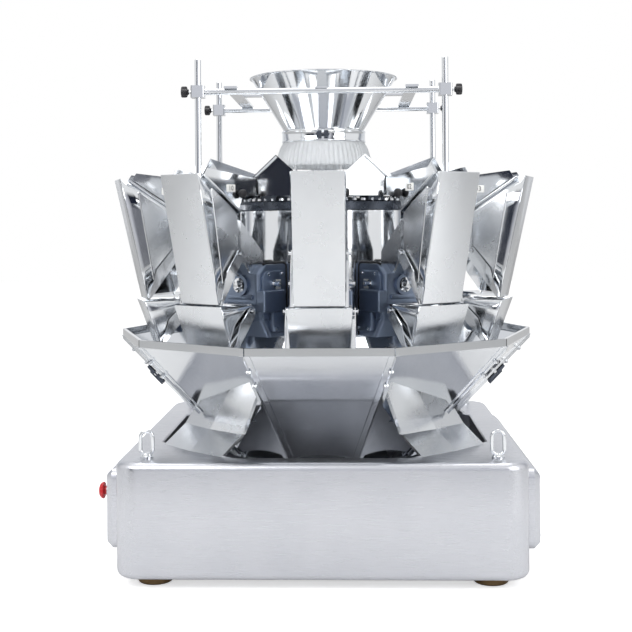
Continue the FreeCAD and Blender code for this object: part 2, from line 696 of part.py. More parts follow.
def gate(pivot, low_corner, tip, half_wall):
    """Single flap: a plate along the hopper's sloping bottom, two side plates on the hinge pins
    and a lever towards the drive."""
    length = math.hypot(tip[0] - low_corner[0], tip[1] - low_corner[1])
    half = half_wall + GATE_SIDE_GAP
    seat, under = GATE_SEAT_GAP, GATE_SEAT_GAP + GATE_T
    back = -PIVOT_IN - PIN_R

    def at(along, below):
        return offset_point(low_corner, tip, along, -below)

    plate = slab([at(0, seat), at(length, seat), at(length, under), at(0, under)], half + GATE_T)
    side_outline = [at(0, under), at(length, under), at(length, seat), at(length * 0.45, seat - GATE_SIDE_H),
                    at(-PIN_R, -PIVOT_IN - 3.5 * PIN_R), at(back, -PIVOT_IN - 2 * PIN_R), at(back, 0)]
    sides = [slab(side_outline, GATE_T / 2, sign * (half + GATE_T / 2)) for sign in (-1, 1)]
    lever = slab([at(0, seat), at(PIVOT_IN * 3, seat), at(0, LEVER_LENGTH), at(-PIVOT_IN, LEVER_LENGTH)],
                 LEVER_HALF_T)
    bores = cross_pin(pivot[0], pivot[1], PIN_R + RUN_GAP, -half - 2 * GATE_T, half + 2 * GATE_T)
    return joined(plate, lever, *sides).cut(bores)


def feed_gate():
    return gate(feed_pivot(), (FEED_BACK_REACH, FEED_BACK_BOTTOM), (FEED_TIP_REACH, FEED_TIP_Z), FEED_HALF_W)


def weigh_gate():
    return gate(weigh_pivot(), (WEIGH_BACK_REACH, WEIGH_BACK_BOTTOM), (WEIGH_TIP_REACH, WEIGH_TIP_Z),
                weigh_half_at(weigh_pivot()[1]))


def hopper_hanger():
    """Bracket plates that carry both hoppers of a head from its drive housing."""
    face, top = HOUSING_REACH, HOUSING_TOP
    pad_top, pad_low = FEED_BACK_TOP - HANGER_TOP_DROP, FEED_BACK_BOTTOM + HANGER_PAD_H
    high_plate = [(face - HANGER_ROOT_IN, top - HANGER_BED), (face, top - HOUSING_BEVEL), (FEED_BACK_REACH, pad_low),
                  (FEED_BACK_REACH, pad_top), (FEED_BACK_REACH - HANGER_PAD_T, pad_top),
                  (face - HANGER_ROOT_IN, top + HANGER_ROOT_H)]
    hook = WEIGH_BACK_BOTTOM + PIVOT_IN + LOW_HANGER_CLEAR
    foot = top - LOW_HANGER_DROP
    low_plate = [(face - HANGER_BED / 2, foot), (face - HANGER_BED / 2, WEIGH_TOP_Z), (WEIGH_BACK_REACH, WEIGH_TOP_Z),
                 (WEIGH_BACK_REACH, hook), (WEIGH_BACK_REACH - LOW_HANGER_PAD, hook), (face + LOW_HANGER_STEP, foot)]
    return [slab(outline, HANGER_T / 2, sign * HANGER_AT)
            for outline in (high_plate, low_plate) for sign in (-1, 1)]


# ---------------------------------------------------------------- feeders
def pan_floor_z(reach):
    share = (reach - PAN_IN_REACH) / (PAN_END_REACH - PAN_IN_REACH)
    return PAN_FLOOR_IN_Z + (PAN_FLOOR_END_Z - PAN_FLOOR_IN_Z) * share


def hopper_edge_z(reach):
    """Height of the feed hopper's sloping top edge."""
    run = FEED_TOP_REACH - FEED_LIP - FEED_BACK_REACH
    return FEED_BACK_TOP + (FEED_TOP_Z - FEED_BACK_TOP) * (reach - FEED_BACK_REACH) / run


def feeder_pan():
    """Vibrating pan: floor, two side plates that reach over the hopper and a low inner lip."""
    floor = slab([(PAN_IN_REACH, PAN_FLOOR_IN_Z - PAN_T), (PAN_END_REACH, PAN_FLOOR_END_Z - PAN_T),
                  (PAN_END_REACH, PAN_FLOOR_END_Z), (PAN_IN_REACH, PAN_FLOOR_IN_Z)], PAN_HALF_W)
    side = [(PAN_IN_REACH, PAN_FLOOR_IN_Z - PAN_T), (PAN_IN_REACH, PAN_LOW_WALL_Z), (CONE_R + PAN_STEP, PAN_LOW_WALL_Z),
            (CONE_R + PAN_STEP + PAN_STEP_RUN, PAN_WALL_Z), (CAP_END_REACH + PAN_CAP_END, PAN_WALL_Z),
            (PAN_LIP_REACH - PAN_LIP_BACK, PAN_WALL_Z + PAN_LIP_RISE),
            (PAN_LIP_REACH, hopper_edge_z(PAN_LIP_REACH) + PAN_HOPPER_GAP),
            (PAN_HEEL_REACH, hopper_edge_z(PAN_HEEL_REACH) + PAN_HOPPER_GAP),
            (PAN_HEEL_REACH - PAN_HEEL_BACK, pan_floor_z(PAN_HEEL_REACH - PAN_HEEL_BACK) - PAN_T)]
    sides = [slab(side, PAN_T / 2, sign * (PAN_HALF_W - PAN_T / 2)) for sign in (-1, 1)]
    lip = slab([(PAN_IN_REACH, PAN_FLOOR_IN_Z - PAN_T), (PAN_IN_REACH + PAN_T, PAN_FLOOR_IN_Z - PAN_T),
                (PAN_IN_REACH + PAN_T, PAN_FLOOR_IN_Z + PAN_LIP_H), (PAN_IN_REACH, PAN_FLOOR_IN_Z + PAN_LIP_H)],
               PAN_HALF_W)
    return joined(floor, lip, *sides)


def feeder_mount():
    """Drive foot between the drum flange and the pan floor."""
    return slab([(MOUNT_IN_REACH, FLANGE_TOP), (MOUNT_IN_REACH, pan_floor_z(MOUNT_IN_REACH) - PAN_T),
                 (MOUNT_END_REACH, pan_floor_z(MOUNT_END_REACH) - PAN_T), (MOUNT_END_REACH, FLANGE_TOP)], MOUNT_HALF_W)


def pan_side_from_seam(reach):
    """Half of the space between two pans, at a reach along the seam between them."""
    half_pitch = math.radians(PITCH / 2)
    along = (reach - PAN_HALF_W * math.sin(half_pitch)) / math.cos(half_pitch)
    return along * math.sin(half_pitch) - PAN_HALF_W * math.cos(half_pitch)


def cap_section(reach):
    """Roof-shaped section whose eaves lie on the side plates of both pans."""
    half = pan_side_from_seam(reach) + PAN_T
    peak = PAN_WALL_Z + half * CAP_SLOPE
    outline = [(-half, PAN_WALL_Z), (0, peak), (half, PAN_WALL_Z),
               (half, PAN_WALL_Z + CAP_T), (0, peak + CAP_T), (-half, PAN_WALL_Z + CAP_T)]
    points = [vec(x, -reach, z) for x, z in outline]
    return Part.makePolygon(points + [points[0]])


def ridge_cap():
    """Roof over the gap between two pans with a gable plate at its outer end."""
    roof = Part.makeLoft([cap_section(CAP_IN_REACH), cap_section(CAP_END_REACH)], True, True)
    reach = CAP_END_REACH - GABLE_SETBACK
    half = pan_side_from_seam(reach) - GABLE_PAN_GAP
    peak = PAN_WALL_Z + (pan_side_from_seam(reach) + PAN_T) * CAP_SLOPE + CAP_T / 2
    low = PAN_WALL_Z - GABLE_DROP
    gable = front_slab([(-half * 0.93, low), (half * 0.93, low), (half, PAN_WALL_Z), (half, PAN_WALL_Z + 2),
                        (0, peak), (-half, PAN_WALL_Z + 2), (-half, PAN_WALL_Z)], -reach, -reach + PAN_T)
    return joined(roof, gable)


def dispersion_cone():
    rim_top = CONE_RIM_Z + CONE_RIM_T
    under = CONE_RIM_Z + (CONE_R - CONE_HUB_R) * (CONE_RISE / CONE_R)
    return revolved([(0, FLANGE_TOP), (CONE_HUB_R, FLANGE_TOP), (CONE_HUB_R, under), (CONE_R, CONE_RIM_Z),
                     (CONE_R, rim_top), (CONE_TIP_R, rim_top + CONE_RISE * 0.9), (0, rim_top + CONE_RISE)])


# ---------------------------------------------------------------- infeed frame
def post_arm():
    root, end = FLANGE_R - POST_ARM_ROOT, POST_CIRCLE_R + POST_ARM_END
    top = FLANGE_TOP - POST_ARM_DROP
    low = top - POST_ARM_T
    arm = slab([(root, low), (end, low), (end, top), (root, top)], POST_ARM_HALF_W)
    return arm.cut(disc(FLANGE_R, 0, POST_TOP))


def guide_post():
    foot = FLANGE_TOP - POST_ARM_DROP
    return Part.makeCylinder(POST_R, POST_TOP - foot, vec(0, -POST_CIRCLE_R, foot))


def post_clamp(sx, sy):
    """Block that slides on a post when its knob is slack."""
    x, y = sx * POST_X, sy * BAR_AT
    block = Part.makeBox(CLAMP_W, CLAMP_W, CLAMP_H, vec(x - CLAMP_W / 2, y - CLAMP_W / 2, BAR_Z - CLAMP_H / 2))
    block = block.makeFillet(4.0, [e for e in block.Edges if abs(e.tangentAt(e.FirstParameter).z) > 0.9])
    bore = Part.makeCylinder(POST_R + RUN_GAP, 2 * CLAMP_H, vec(x, y, BAR_Z - CLAMP_H))
    return block.cut(bore)


def clamp_knob(sx, sy):
    """Lobed knob on its stud, on the outer face of a clamp block."""
    face_x = POST_X + CLAMP_W / 2
    stud = Part.makeCylinder(KNOB_STUD_R, KNOB_STUD + 2, vec(face_x, 0, BAR_Z), vec(1, 0, 0))
    head = Part.makeCylinder(KNOB_R, KNOB_T, vec(face_x + KNOB_STUD, 0, BAR_Z), vec(1, 0, 0))
    for lobe in range(KNOB_LOBES):
        angle = math.radians(360.0 * lobe / KNOB_LOBES)
        y, z = (KNOB_R + 3) * math.cos(angle), (KNOB_R + 3) * math.sin(angle)
        head = head.cut(Part.makeCylinder(6.0, 4 * KNOB_T, vec(face_x, y, BAR_Z + z), vec(1, 0, 0)))
    knob = joined(head, stud)
    if sx < 0:
        knob = knob.mirror(vec(0, 0, 0), vec(1, 0, 0))
    knob.translate(vec(0, sy * BAR_AT, 0))
    return knob


def mouth_reach(z):
    return NECK_R + (MOUTH_R - NECK_R) * (z - NECK_TOP) / (MOUTH_Z - NECK_TOP)


def infeed_cone():
    level_t = SHEET_T / math.sin(math.atan2(MOUTH_Z - NECK_TOP, MOUTH_R - NECK_R))
    return revolved([
        (NECK_R, NECK_BOTTOM), (NECK_R, NECK_TOP), (MOUTH_R, MOUTH_Z), (MOUTH_R + MOUTH_LIP_W, MOUTH_Z),
        (MOUTH_R + MOUTH_LIP_W, MOUTH_Z + MOUTH_LIP_H), (MOUTH_R - level_t, MOUTH_Z + MOUTH_LIP_H),
        (MOUTH_R - level_t, MOUTH_Z), (NECK_R - SHEET_T, NECK_TOP), (NECK_R - SHEET_T, NECK_BOTTOM)])


def infeed_frame():
    """Two round bars between the clamps, two flat cross bars and the tabs that hold the cone."""
    bar_end = POST_X - CLAMP_W / 2
    bars = [Part.makeCylinder(BAR_R, 2 * bar_end, vec(-bar_end, sy * BAR_AT, BAR_Z), vec(1, 0, 0))
            for sy in (-1, 1)]
    end = BAR_AT + CROSS_BAR_END
    cross = [Part.makeBox(CROSS_BAR_W, 2 * end, CROSS_BAR_T, vec(sx * CROSS_BAR_AT - CROSS_BAR_W / 2, -end, CROSS_BAR_Z))
             for sx in (-1, 1)]
    side_z = CROSS_BAR_Z + CROSS_BAR_T
    side_tab = Part.makeBox(CROSS_BAR_AT + CROSS_BAR_W / 2, TAB_W, TAB_T, vec(0, -TAB_W / 2, side_z))
    front_tab = Part.makeBox(TAB_W, BAR_AT + BAR_R, TAB_T, vec(-TAB_W / 2, -BAR_AT - BAR_R, CROSS_BAR_Z))
    tabs = [side_tab, side_tab.mirror(vec(0, 0, 0), vec(1, 0, 0)),
            front_tab, front_tab.mirror(vec(0, 0, 0), vec(0, 1, 0))]
    room = revolved([(0, NECK_TOP), (NECK_R, NECK_TOP), (MOUTH_R, MOUTH_Z), (0, MOUTH_Z)])
    return joined(bars[0], bars[1], *cross, *[tab.cut(room) for tab in tabs])


def product_curtain():
    """Soft sleeve from the neck to the dispersion cone, slightly flared."""
    top = CURTAIN_TOP
    inner = [(NECK_R, top), (NECK_R, NECK_BOTTOM - 8), (CURTAIN_FLARE_R - CURTAIN_T, CURTAIN_FLARE_Z),
             (CURTAIN_FLARE_R - CURTAIN_T, CURTAIN_BOTTOM)]
    outer = [(radius + CURTAIN_T, z) for radius, z in reversed(inner)]
    return revolved(inner + outer)


def neck_band():
    """Steel band round the top of the curtain with its toggle latch at the front."""
    low = CURTAIN_TOP - BAND_H + 2
    inner = NECK_R + CURTAIN_T
    band = disc(inner + BAND_T, low, low + BAND_H).cut(disc(inner, low - 1, low + BAND_H + 1))
    z = low + (BAND_H - LATCH_H) / 2
    latch = Part.makeBox(LATCH_W, LATCH_T + BAND_T, LATCH_H, vec(-LATCH_W / 2, -inner - BAND_T - LATCH_T, z))
    return joined(band, latch.cut(disc(inner + BAND_T / 2, 0, POST_TOP)))


# ---------------------------------------------------------------- nodes
def four_corners(maker):
    return Part.makeCompound([maker(sx, sy) for sx in (-1, 1) for sy in (-1, 1)])


def build():
    """Every node's name and shape."""
    room = leg_room()
    cranks = [crank((FEED_BACK_REACH, FEED_BACK_BOTTOM), (FEED_TIP_REACH, FEED_TIP_Z), HOUSING_TOP - BOSS_DROP),
              crank((WEIGH_BACK_REACH, WEIGH_BACK_BOTTOM), (WEIGH_TIP_REACH, WEIGH_TIP_Z),
                    HOUSING_BOTTOM + LOW_SHAFT_RISE)]
    housing = drive_housing()
    nodes = {
        "base_shell": base_shell(),
        "base_floor": base_floor(),
        "base_well": base_well(),
        "base_feet": base_feet(),
        "side_covers": side_covers(),
        "eye_bolts": eye_bolts(),
        "stop_button_collar": stop_button_collar(),
        "stop_button": stop_button(),
        "support_legs": support_legs(),
        "lower_funnel": lower_funnel(),
        "spout_tube": spout_tube(),
        "chute_panels_plain": around(chute_panel(), (0, 180)),
        "chute_panels_corner": corner_panels((1, 4, 6, 9), room),
        "chute_panels_side": around(chute_panel(), [head * PITCH for head in (2, 3, 7, 8)]).cut(room),
        "chute_seams": Part.makeCompound([seam_web(room, azimuth) for azimuth in SEAM_AZIMUTHS]),
        "drum_body": drum_body(),
        "drum_flange": drum_flange(),
        "drive_housings": around(housing, HEAD_AZIMUTHS),
        "drive_cranks": Part.makeCompound([around(piece.cut(housing), HEAD_AZIMUTHS) for piece in cranks]),
        "hopper_hangers": Part.makeCompound(
            [around(plate.cut(housing), HEAD_AZIMUTHS) for plate in hopper_hanger()]),
        "feed_hoppers": around(feed_hopper(), HEAD_AZIMUTHS),
        "weigh_hoppers": around(weigh_hopper(), HEAD_AZIMUTHS),
        "feeder_mounts": around(feeder_mount(), HEAD_AZIMUTHS),
        "feeder_pans": around(feeder_pan(), HEAD_AZIMUTHS),
        "ridge_caps": around(ridge_cap(), SEAM_AZIMUTHS),
        "dispersion_cone": dispersion_cone(),
        "post_arms": around(post_arm(), POST_AZIMUTHS),
        "guide_posts": around(guide_post(), POST_AZIMUTHS),
        "post_clamps": four_corners(post_clamp),
        "clamp_knobs": four_corners(clamp_knob),
        "infeed_frame": infeed_frame(),
        "infeed_cone": infeed_cone(),
        "product_curtain": product_curtain(),
        "neck_band": neck_band(),
    }
    for index, azimuth in enumerate(HEAD_AZIMUTHS):
        nodes["feed_gate_%02d" % (index + 1)] = turned(feed_gate(), azimuth)
        nodes["weigh_gate_%02d" % (index + 1)] = turned(weigh_gate(), azimuth)
    return nodes


os.makedirs("parts", exist_ok=True)
for name, shape in build().items():
    shape.exportStep("parts/%s.step" % name)
    print("%-22s %3d solids %5d faces  valid %s  %.0f cm3"
          % (name, len(shape.Solids), len(shape.Faces), shape.isValid(), shape.Volume / 1000.0))
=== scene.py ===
"""Multihead weigher in polished stainless sheet, dressed over its CAD frame.

Every piece is placed in the row frame: metres, +Z up, the operator's side towards -Y.  What belongs
to one weighing head is worked out at the front as (side, reach, height) and turned to its place.
"""

import json
import logging
import math
from dataclasses import dataclass
from enum import Enum
from typing import Callable, Iterable, Sequence

import bmesh
import bpy
import numpy as np
from mathutils import Matrix, Vector

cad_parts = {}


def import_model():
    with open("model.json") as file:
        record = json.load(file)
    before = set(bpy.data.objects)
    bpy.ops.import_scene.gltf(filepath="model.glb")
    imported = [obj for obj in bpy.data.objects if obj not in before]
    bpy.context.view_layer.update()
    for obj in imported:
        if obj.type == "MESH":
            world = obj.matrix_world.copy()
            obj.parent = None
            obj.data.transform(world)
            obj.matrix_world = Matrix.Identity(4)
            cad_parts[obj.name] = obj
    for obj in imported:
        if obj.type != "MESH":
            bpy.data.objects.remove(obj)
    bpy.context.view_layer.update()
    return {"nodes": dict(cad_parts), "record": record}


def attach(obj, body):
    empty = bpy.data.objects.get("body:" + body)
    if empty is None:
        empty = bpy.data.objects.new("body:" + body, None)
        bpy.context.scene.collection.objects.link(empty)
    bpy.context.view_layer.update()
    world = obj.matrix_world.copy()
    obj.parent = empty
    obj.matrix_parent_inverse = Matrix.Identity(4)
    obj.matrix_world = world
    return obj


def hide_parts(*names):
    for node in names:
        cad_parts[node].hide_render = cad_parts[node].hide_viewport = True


Array = np.ndarray
Placer = Callable[[Array], Array]
MM = 0.001
HEADS = 10
PITCH = 360.0 / HEADS
HEAD_AZIMUTHS = tuple(PITCH * i for i in range(HEADS))
SEAM_AZIMUTHS = tuple(PITCH * (i + 0.5) for i in range(HEADS))
SMOOTH_BELOW_DEG = 34.0
LOG = logging.getLogger("weigher")


class Body(Enum):
    """The bodies that the pieces ride on."""

    MACHINE = "machine"
    INFEED = "infeed"
    BUTTON = "button"


# ---------------------------------------------------------------- surfaces
def front(points: Array) -> Array:
    """Head coordinates to the row frame at the front head: x = side, y = -reach, z = height.

    Args:
        points: (..., 3) array of side, reach and height in millimetres.

    Returns:
        The same points in metres in the row frame.
    """
    return np.stack([points[..., 0], -points[..., 1], points[..., 2]], axis=-1) * MM


def turned(points: Array, azimuth: float) -> Array:
    """Points turned about the Z axis: x' = x cos a - y sin a, y' = x sin a + y cos a."""
    a = math.radians(azimuth)
    turn = np.array([[math.cos(a), math.sin(a), 0], [-math.sin(a), math.cos(a), 0], [0, 0, 1]])
    return points @ turn


def rounded(outline: Sequence[Sequence[float]], radius: float | Array, steps: int = 5) -> Array:
    """Closed outline with its corners rounded.

    Each corner P with unit edge directions a (to the previous corner) and b (to the next) becomes
    points of the quadratic curve P + a r (1 - s)^2 + b r s^2, s from 0 to 1, which leaves both
    edges at a distance r from the corner and is tangent to them.

    Args:
        outline: corner points in order.
        radius: distance from a corner to where its curve starts, one value or one per corner.
        steps: points on each curve.

    Returns:
        (corners * steps, 2) array.
    """
    p = np.asarray(outline, float)
    before, after = np.roll(p, 1, axis=0) - p, np.roll(p, -1, axis=0) - p
    r = np.broadcast_to(np.asarray(radius, float), (len(p),))[:, None, None]
    a = (before / np.linalg.norm(before, axis=1, keepdims=True))[:, None, :]
    b = (after / np.linalg.norm(after, axis=1, keepdims=True))[:, None, :]
    s = np.linspace(0, 1, steps)[None, :, None]
    return (p[:, None, :] + a * r * (1 - s) ** 2 + b * r * s ** 2).reshape(-1, 2)


def inset(outline: Array, distance: float) -> Array:
    """Outline moved inwards: each point goes along the mean normal of its two edges.

    The mean normal n of unit normals n1 and n2 is scaled by 1 / (1 + n1.n2) so that both edges
    move by the same distance.
    """
    edge = np.roll(outline, -1, axis=0) - outline
    normal = np.stack([-edge[:, 1], edge[:, 0]], axis=-1)
    normal /= np.maximum(np.linalg.norm(normal, axis=1, keepdims=True), 1e-9)
    previous = np.roll(normal, 1, axis=0)
    scale = 1 + np.sum(normal * previous, axis=1, keepdims=True)
    area = np.sum(outline[:, 0] * np.roll(outline[:, 1], -1) - outline[:, 1] * np.roll(outline[:, 0], -1))
    return outline + np.sign(area) * distance * (normal + previous) / np.maximum(scale, 0.3)


class Surface:
    """A mesh that grows from whole grids of points, each a function of two parameters."""

    def __init__(self) -> None:
        """Starts empty."""
        self.blocks: list[Array] = []
        self.faces: list[list[int]] = []
        self.size = 0

    def grid(self, points: Array, wrap: bool = True, caps: bool = True) -> "Surface":
        """Adds rows of points joined by quads.

        Args:
            points: (rows, columns, 3) array in metres.
            wrap: the last column joins the first.
            caps: the first and last rows are closed by one face each.

        Returns:
            The surface itself.
        """
        rows, columns = points.shape[:2]
        index = np.arange(rows * columns).reshape(rows, columns) + self.size
        if wrap:
            index = np.concatenate([index, index[:, :1]], axis=1)
        quads = np.stack([index[:-1, :-1], index[:-1, 1:], index[1:, 1:], index[1:, :-1]], axis=-1)
        self.faces += quads.reshape(-1, 4).tolist()
        if caps:
            self.faces += [index[0, :columns][::-1].tolist(), index[-1, :columns].tolist()]
        self.blocks.append(points.reshape(-1, 3))
        self.size += rows * columns
        return self

    def prism(self, outline: Array, levels: Sequence[float], place: Placer,
              edge: float = 0.0) -> "Surface":
        """Closed block: an outline carried between two levels, its rims bevelled by a small edge."""
        low, high = levels
        if edge > 0:
            steps = [(edge, low), (edge * 0.3, low + edge * 0.3), (0, low + edge), (0, high - edge),
                     (edge * 0.3, high - edge * 0.3), (edge, high)]
        else:
            steps = [(0, low), (0, high)]
        rows = [np.concatenate([inset(outline, d) if d else outline, np.full((len(outline), 1), level)], axis=1)
                for d, level in steps]
        return self.grid(place(np.stack(rows)))

    def copies(self, azimuths: Iterable[float]) -> "Surface":
        """The whole surface repeated at azimuths about the Z axis."""
        azimuths = tuple(azimuths)
        points, faces, size = np.concatenate(self.blocks), self.faces, self.size
        self.blocks = [turned(points, azimuth) for azimuth in azimuths]
        self.faces = [[i + k * size for i in face] for k in range(len(azimuths)) for face in faces]
        self.size = size * len(azimuths)
        return self

    def piece(self, name: str, finish: "Finish", body: Body,
              replaces: Sequence[str] = ()) -> bpy.types.Object:
        """Makes the object, recalculates its normals outwards, dresses it and lets it ride on a body."""
        mesh = bpy.data.meshes.new(name)
        mesh.from_pydata(np.concatenate(self.blocks).tolist(), [], self.faces)
        obj = bpy.data.objects.new(name, mesh)
        bpy.context.scene.collection.objects.link(obj)
        outward(mesh)
        mesh.polygons.foreach_set("use_smooth", np.ones(len(mesh.polygons), bool))
        mesh.set_sharp_from_angle(angle=math.radians(SMOOTH_BELOW_DEG))
        mesh.materials.append(finish.material())
        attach(obj, body.value)
        if replaces:
            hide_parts(*replaces)
        LOG.info("%s: %d faces on %s", name, len(self.faces), body.value)
        return obj


def outward(mesh: bpy.types.Mesh) -> None:
    """Merges doubled points and turns every closed part's faces outwards."""
    work = bmesh.new()
    work.from_mesh(mesh)
    bmesh.ops.remove_doubles(work, verts=work.verts, dist=1e-6)
    bmesh.ops.recalc_face_normals(work, faces=work.faces)
    work.to_mesh(mesh)
    work.free()


def lathe(profile: Sequence[Sequence[float]], steps: int = 72) -> Array:
    """Surface of revolution about Z: (r cos u, r sin u, z) for a closed profile of (r, z) in mm.

    Returns:
        (profile, steps, 3) array in metres whose first row repeats at the end.
    """
    p = np.asarray(profile, float)
    p = np.concatenate([p, p[:1]])
    u = np.linspace(0, 2 * np.pi, steps, endpoint=False)
    return np.stack([p[:, :1] * np.cos(u), p[:, :1] * np.sin(u), np.repeat(p[:, 1:], steps, 1)], -1) * MM


def cross_lathe(profile: Sequence[Sequence[float]], centre: Sequence[float], axis: Sequence[float],
                steps: int = 24) -> Array:
    """Solid of revolution about any axis: rings of radius r at distance h along the axis.

    Args:
        profile: (r, h) pairs in millimetres, the first and last closed by caps.
        centre: where the axis starts, in head coordinates in millimetres.
        axis: its direction in head coordinates.
        steps: points round each ring.

    Returns:
        (profile, steps, 3) array in head coordinates, in millimetres.
    """
    n = np.asarray(axis, float) / np.linalg.norm(axis)
    helper = np.array([0.0, 0.0, 1.0]) if abs(n[2]) < 0.9 else np.array([1.0, 0.0, 0.0])
    a = np.cross(n, helper)
    a /= np.linalg.norm(a)
    b = np.cross(n, a)
    u = np.linspace(0, 2 * np.pi, steps, endpoint=False)[:, None]
    circle = np.cos(u) * a + np.sin(u) * b
    p = np.asarray(profile, float)
    return np.asarray(centre, float) + p[:, None, :1] * circle[None] + p[:, None, 1:] * n


def tube(path: Array, radius: float, steps: int = 12, closed: bool = False) -> Array:
    """Round rod along a path: circles square to the path's direction.

    The side vector at each point is the cross product of the direction with one fixed vector, so
    the path has to stay out of that vector's direction.
    """
    way = np.gradient(path, axis=0) if not closed else np.roll(path, -1, 0) - np.roll(path, 1, 0)
    way /= np.linalg.norm(way, axis=1, keepdims=True)
    spread = path.max(0) - path.min(0)
    fixed = np.eye(3)[int(np.argmin(spread))]
    a = np.cross(way, fixed)
    a /= np.linalg.norm(a, axis=1, keepdims=True)
    b = np.cross(way, a)
    u = np.linspace(0, 2 * np.pi, steps, endpoint=False)
    rows = path[:, None] + radius * (a[:, None] * np.cos(u)[:, None] + b[:, None] * np.sin(u)[:, None])
    return np.concatenate([rows, rows[:1]]) if closed else rows


# ---------------------------------------------------------------- finishes
def linear(hex_colour: str) -> tuple[float, float, float, float]:
    """sRGB hex to linear RGBA: c / 12.92 below 0.04045, else ((c + 0.055) / 1.055)^2.4."""
    c = np.array([int(hex_colour[i:i + 2], 16) for i in (1, 3, 5)]) / 255
    c = np.where(c <= 0.04045, c / 12.92, ((c + 0.055) / 1.055) ** 2.4)
    return (*c.tolist(), 1.0)


def add_node(tree: bpy.types.NodeTree, kind: str, links: dict | None = None, values: dict | None = None,
             **settings) -> bpy.types.Node:
    """Adds a node with its settings, socket values and incoming links.

    Args:
        tree: the node tree.
        kind: the node's type name without "ShaderNode".
        links: socket name or number to the output socket that feeds it.
        values: socket name or number to a constant.
        settings: properties of the node itself.

    Returns:
        The node.
    """
    node = tree.nodes.new("ShaderNode" + kind)
    for key, value in settings.items():
        setattr(node, key, value)
    for key, value in (values or {}).items():
        node.inputs[key].default_value = value
    for key, socket in (links or {}).items():
        tree.links.new(socket, node.inputs[key])
    return node


@dataclass(frozen=True)
class Finish:
    """A real surface finish and what it gives the eye."""

    name: str
    slot: str
    colour: str
    second: str
    roughness: float
    metallic: float = 1.0
    grain_mm: float = 40.0
    stretch: tuple[float, float, float] = (1.0, 1.0, 1.0)
    bump_mm: float = 0.02
    transmission: float = 0.0

    def material(self) -> bpy.types.Material:
        """The procedural material, made once."""
        found = bpy.data.materials.get(self.name)
        if found:
            return found
        made = bpy.data.materials.new(self.name)
        made.use_nodes = True
        tree = made.node_tree
        tree.nodes.clear()
        where = add_node(tree, "TexCoord").outputs["Object"]
        scale = tuple(s / (self.grain_mm * MM) for s in self.stretch)
        mapped = add_node(tree, "Mapping", {"Vector": where}, {"Scale": scale}).outputs[0]
        noise = add_node(tree, "TexNoise", {"Vector": mapped}, {"Scale": 1.0, "Detail": 4.0, "Roughness": 0.55})
        patch = add_node(tree, "TexNoise", {"Vector": where}, {"Scale": 9.0, "Detail": 2.0})
        blend = add_node(tree, "Mix", {0: patch.outputs["Fac"]}, {6: linear(self.colour), 7: linear(self.second)},
                         data_type="RGBA")
        rough = add_node(tree, "MapRange", {"Value": noise.outputs["Fac"]},
                         {"From Min": 0.3, "From Max": 0.7, "To Min": self.roughness * 0.8,
                          "To Max": self.roughness * 1.25})
        bump = add_node(tree, "Bump", {"Height": noise.outputs["Fac"]},
                        {"Strength": 1.0, "Distance": self.bump_mm * MM})
        shader = add_node(tree, "BsdfPrincipled",
                          {"Base Color": blend.outputs[2], "Roughness": rough.outputs[0], "Normal": bump.outputs[0]},
                          {"Metallic": self.metallic, "Transmission Weight": self.transmission})
        add_node(tree, "OutputMaterial", {"Surface": shader.outputs[0]})
        return made


# Electropolished 304 sheet: nearly a mirror, with slow waves that bend its reflections.
POLISHED = Finish("polished_stainless_sheet", "polished_steel", "#e2e4e6", "#d6d9dd", 0.10, grain_mm=160, bump_mm=0.25)
# Fine satin 304 sheet: blurred reflections.
SATIN = Finish("satin_stainless_sheet", "satin_steel", "#d8dadc", "#cdd0d4", 0.24, grain_mm=60, bump_mm=0.04)
# Hairline-brushed 304 sheet: fine scratches along X.
BRUSHED = Finish("hairline_stainless_sheet", "satin_steel", "#d0d1d6", "#c4c6cc", 0.30,
                 grain_mm=1.6, stretch=(0.02, 1.0, 1.0), bump_mm=0.03)
# Dark satin steel: fine turned surface, dull reflections.
DARK_STEEL = Finish("dark_satin_steel", "dark_steel", "#5d626b", "#4b5059", 0.28, grain_mm=20, bump_mm=0.02)
# Painted aluminium casting: fine sand grain, soft blue-grey.
CASTING = Finish("blue_grey_cast_aluminium", "cast_aluminium", "#93a0b4", "#8592a8", 0.38, 0.85, 3.0,
                 bump_mm=0.12)
# Dull bronze-coloured foot: worn and nearly matt.
FOOT = Finish("dull_bronze_foot", "foot_brass", "#7d6748", "#655238", 0.45, 0.8, grain_mm=4, bump_mm=0.05)
# Moulded ABS: even colour with a wet gloss.
RED = Finish("glossy_red_abs", "red_plastic", "#c4161f", "#b2121b", 0.28, 0.0, 6.0, bump_mm=0.02)
# Moulded nylon: fine spark-eroded grain, half matt.
BLACK = Finish("moulded_black_nylon", "black_plastic", "#17171a", "#222226", 0.45, 0.0, 1.2,
               bump_mm=0.05)
# Silicone film: lets light through, milky where it folds.
SLEEVE = Finish("translucent_silicone_sleeve", "curtain_rubber", "#eceef0", "#e2e5e8", 0.35, 0.0, 12.0,
                bump_mm=0.05, transmission=0.35)
# Enamelled plate: plain white, half gloss.
LABEL = Finish("white_enamelled_label", "curtain_rubber", "#f2f2f0", "#eaeae8", 0.4, 0.0, 2.0,
               bump_mm=0.005)

CAD_FINISH = {
    "polished_steel": POLISHED, "satin_steel": SATIN, "dark_steel": DARK_STEEL, "cast_aluminium": CASTING,
    "foot_brass": FOOT, "red_plastic": RED, "black_plastic": BLACK, "curtain_rubber": SLEEVE,
}


def dress_cad(frame: dict) -> None:
    """Gives every carried-over CAD node the finish of its slot."""
    slots = {part["node"]: part["material_slot"] for part in frame["record"]["subparts"]}
    special = {"base_shell": BRUSHED, "side_covers": BRUSHED}
    for name, obj in frame["nodes"].items():
        finish = special.get(name, CAD_FINISH[slots[name]])
        obj.data.materials.clear()
        obj.data.materials.append(finish.material())


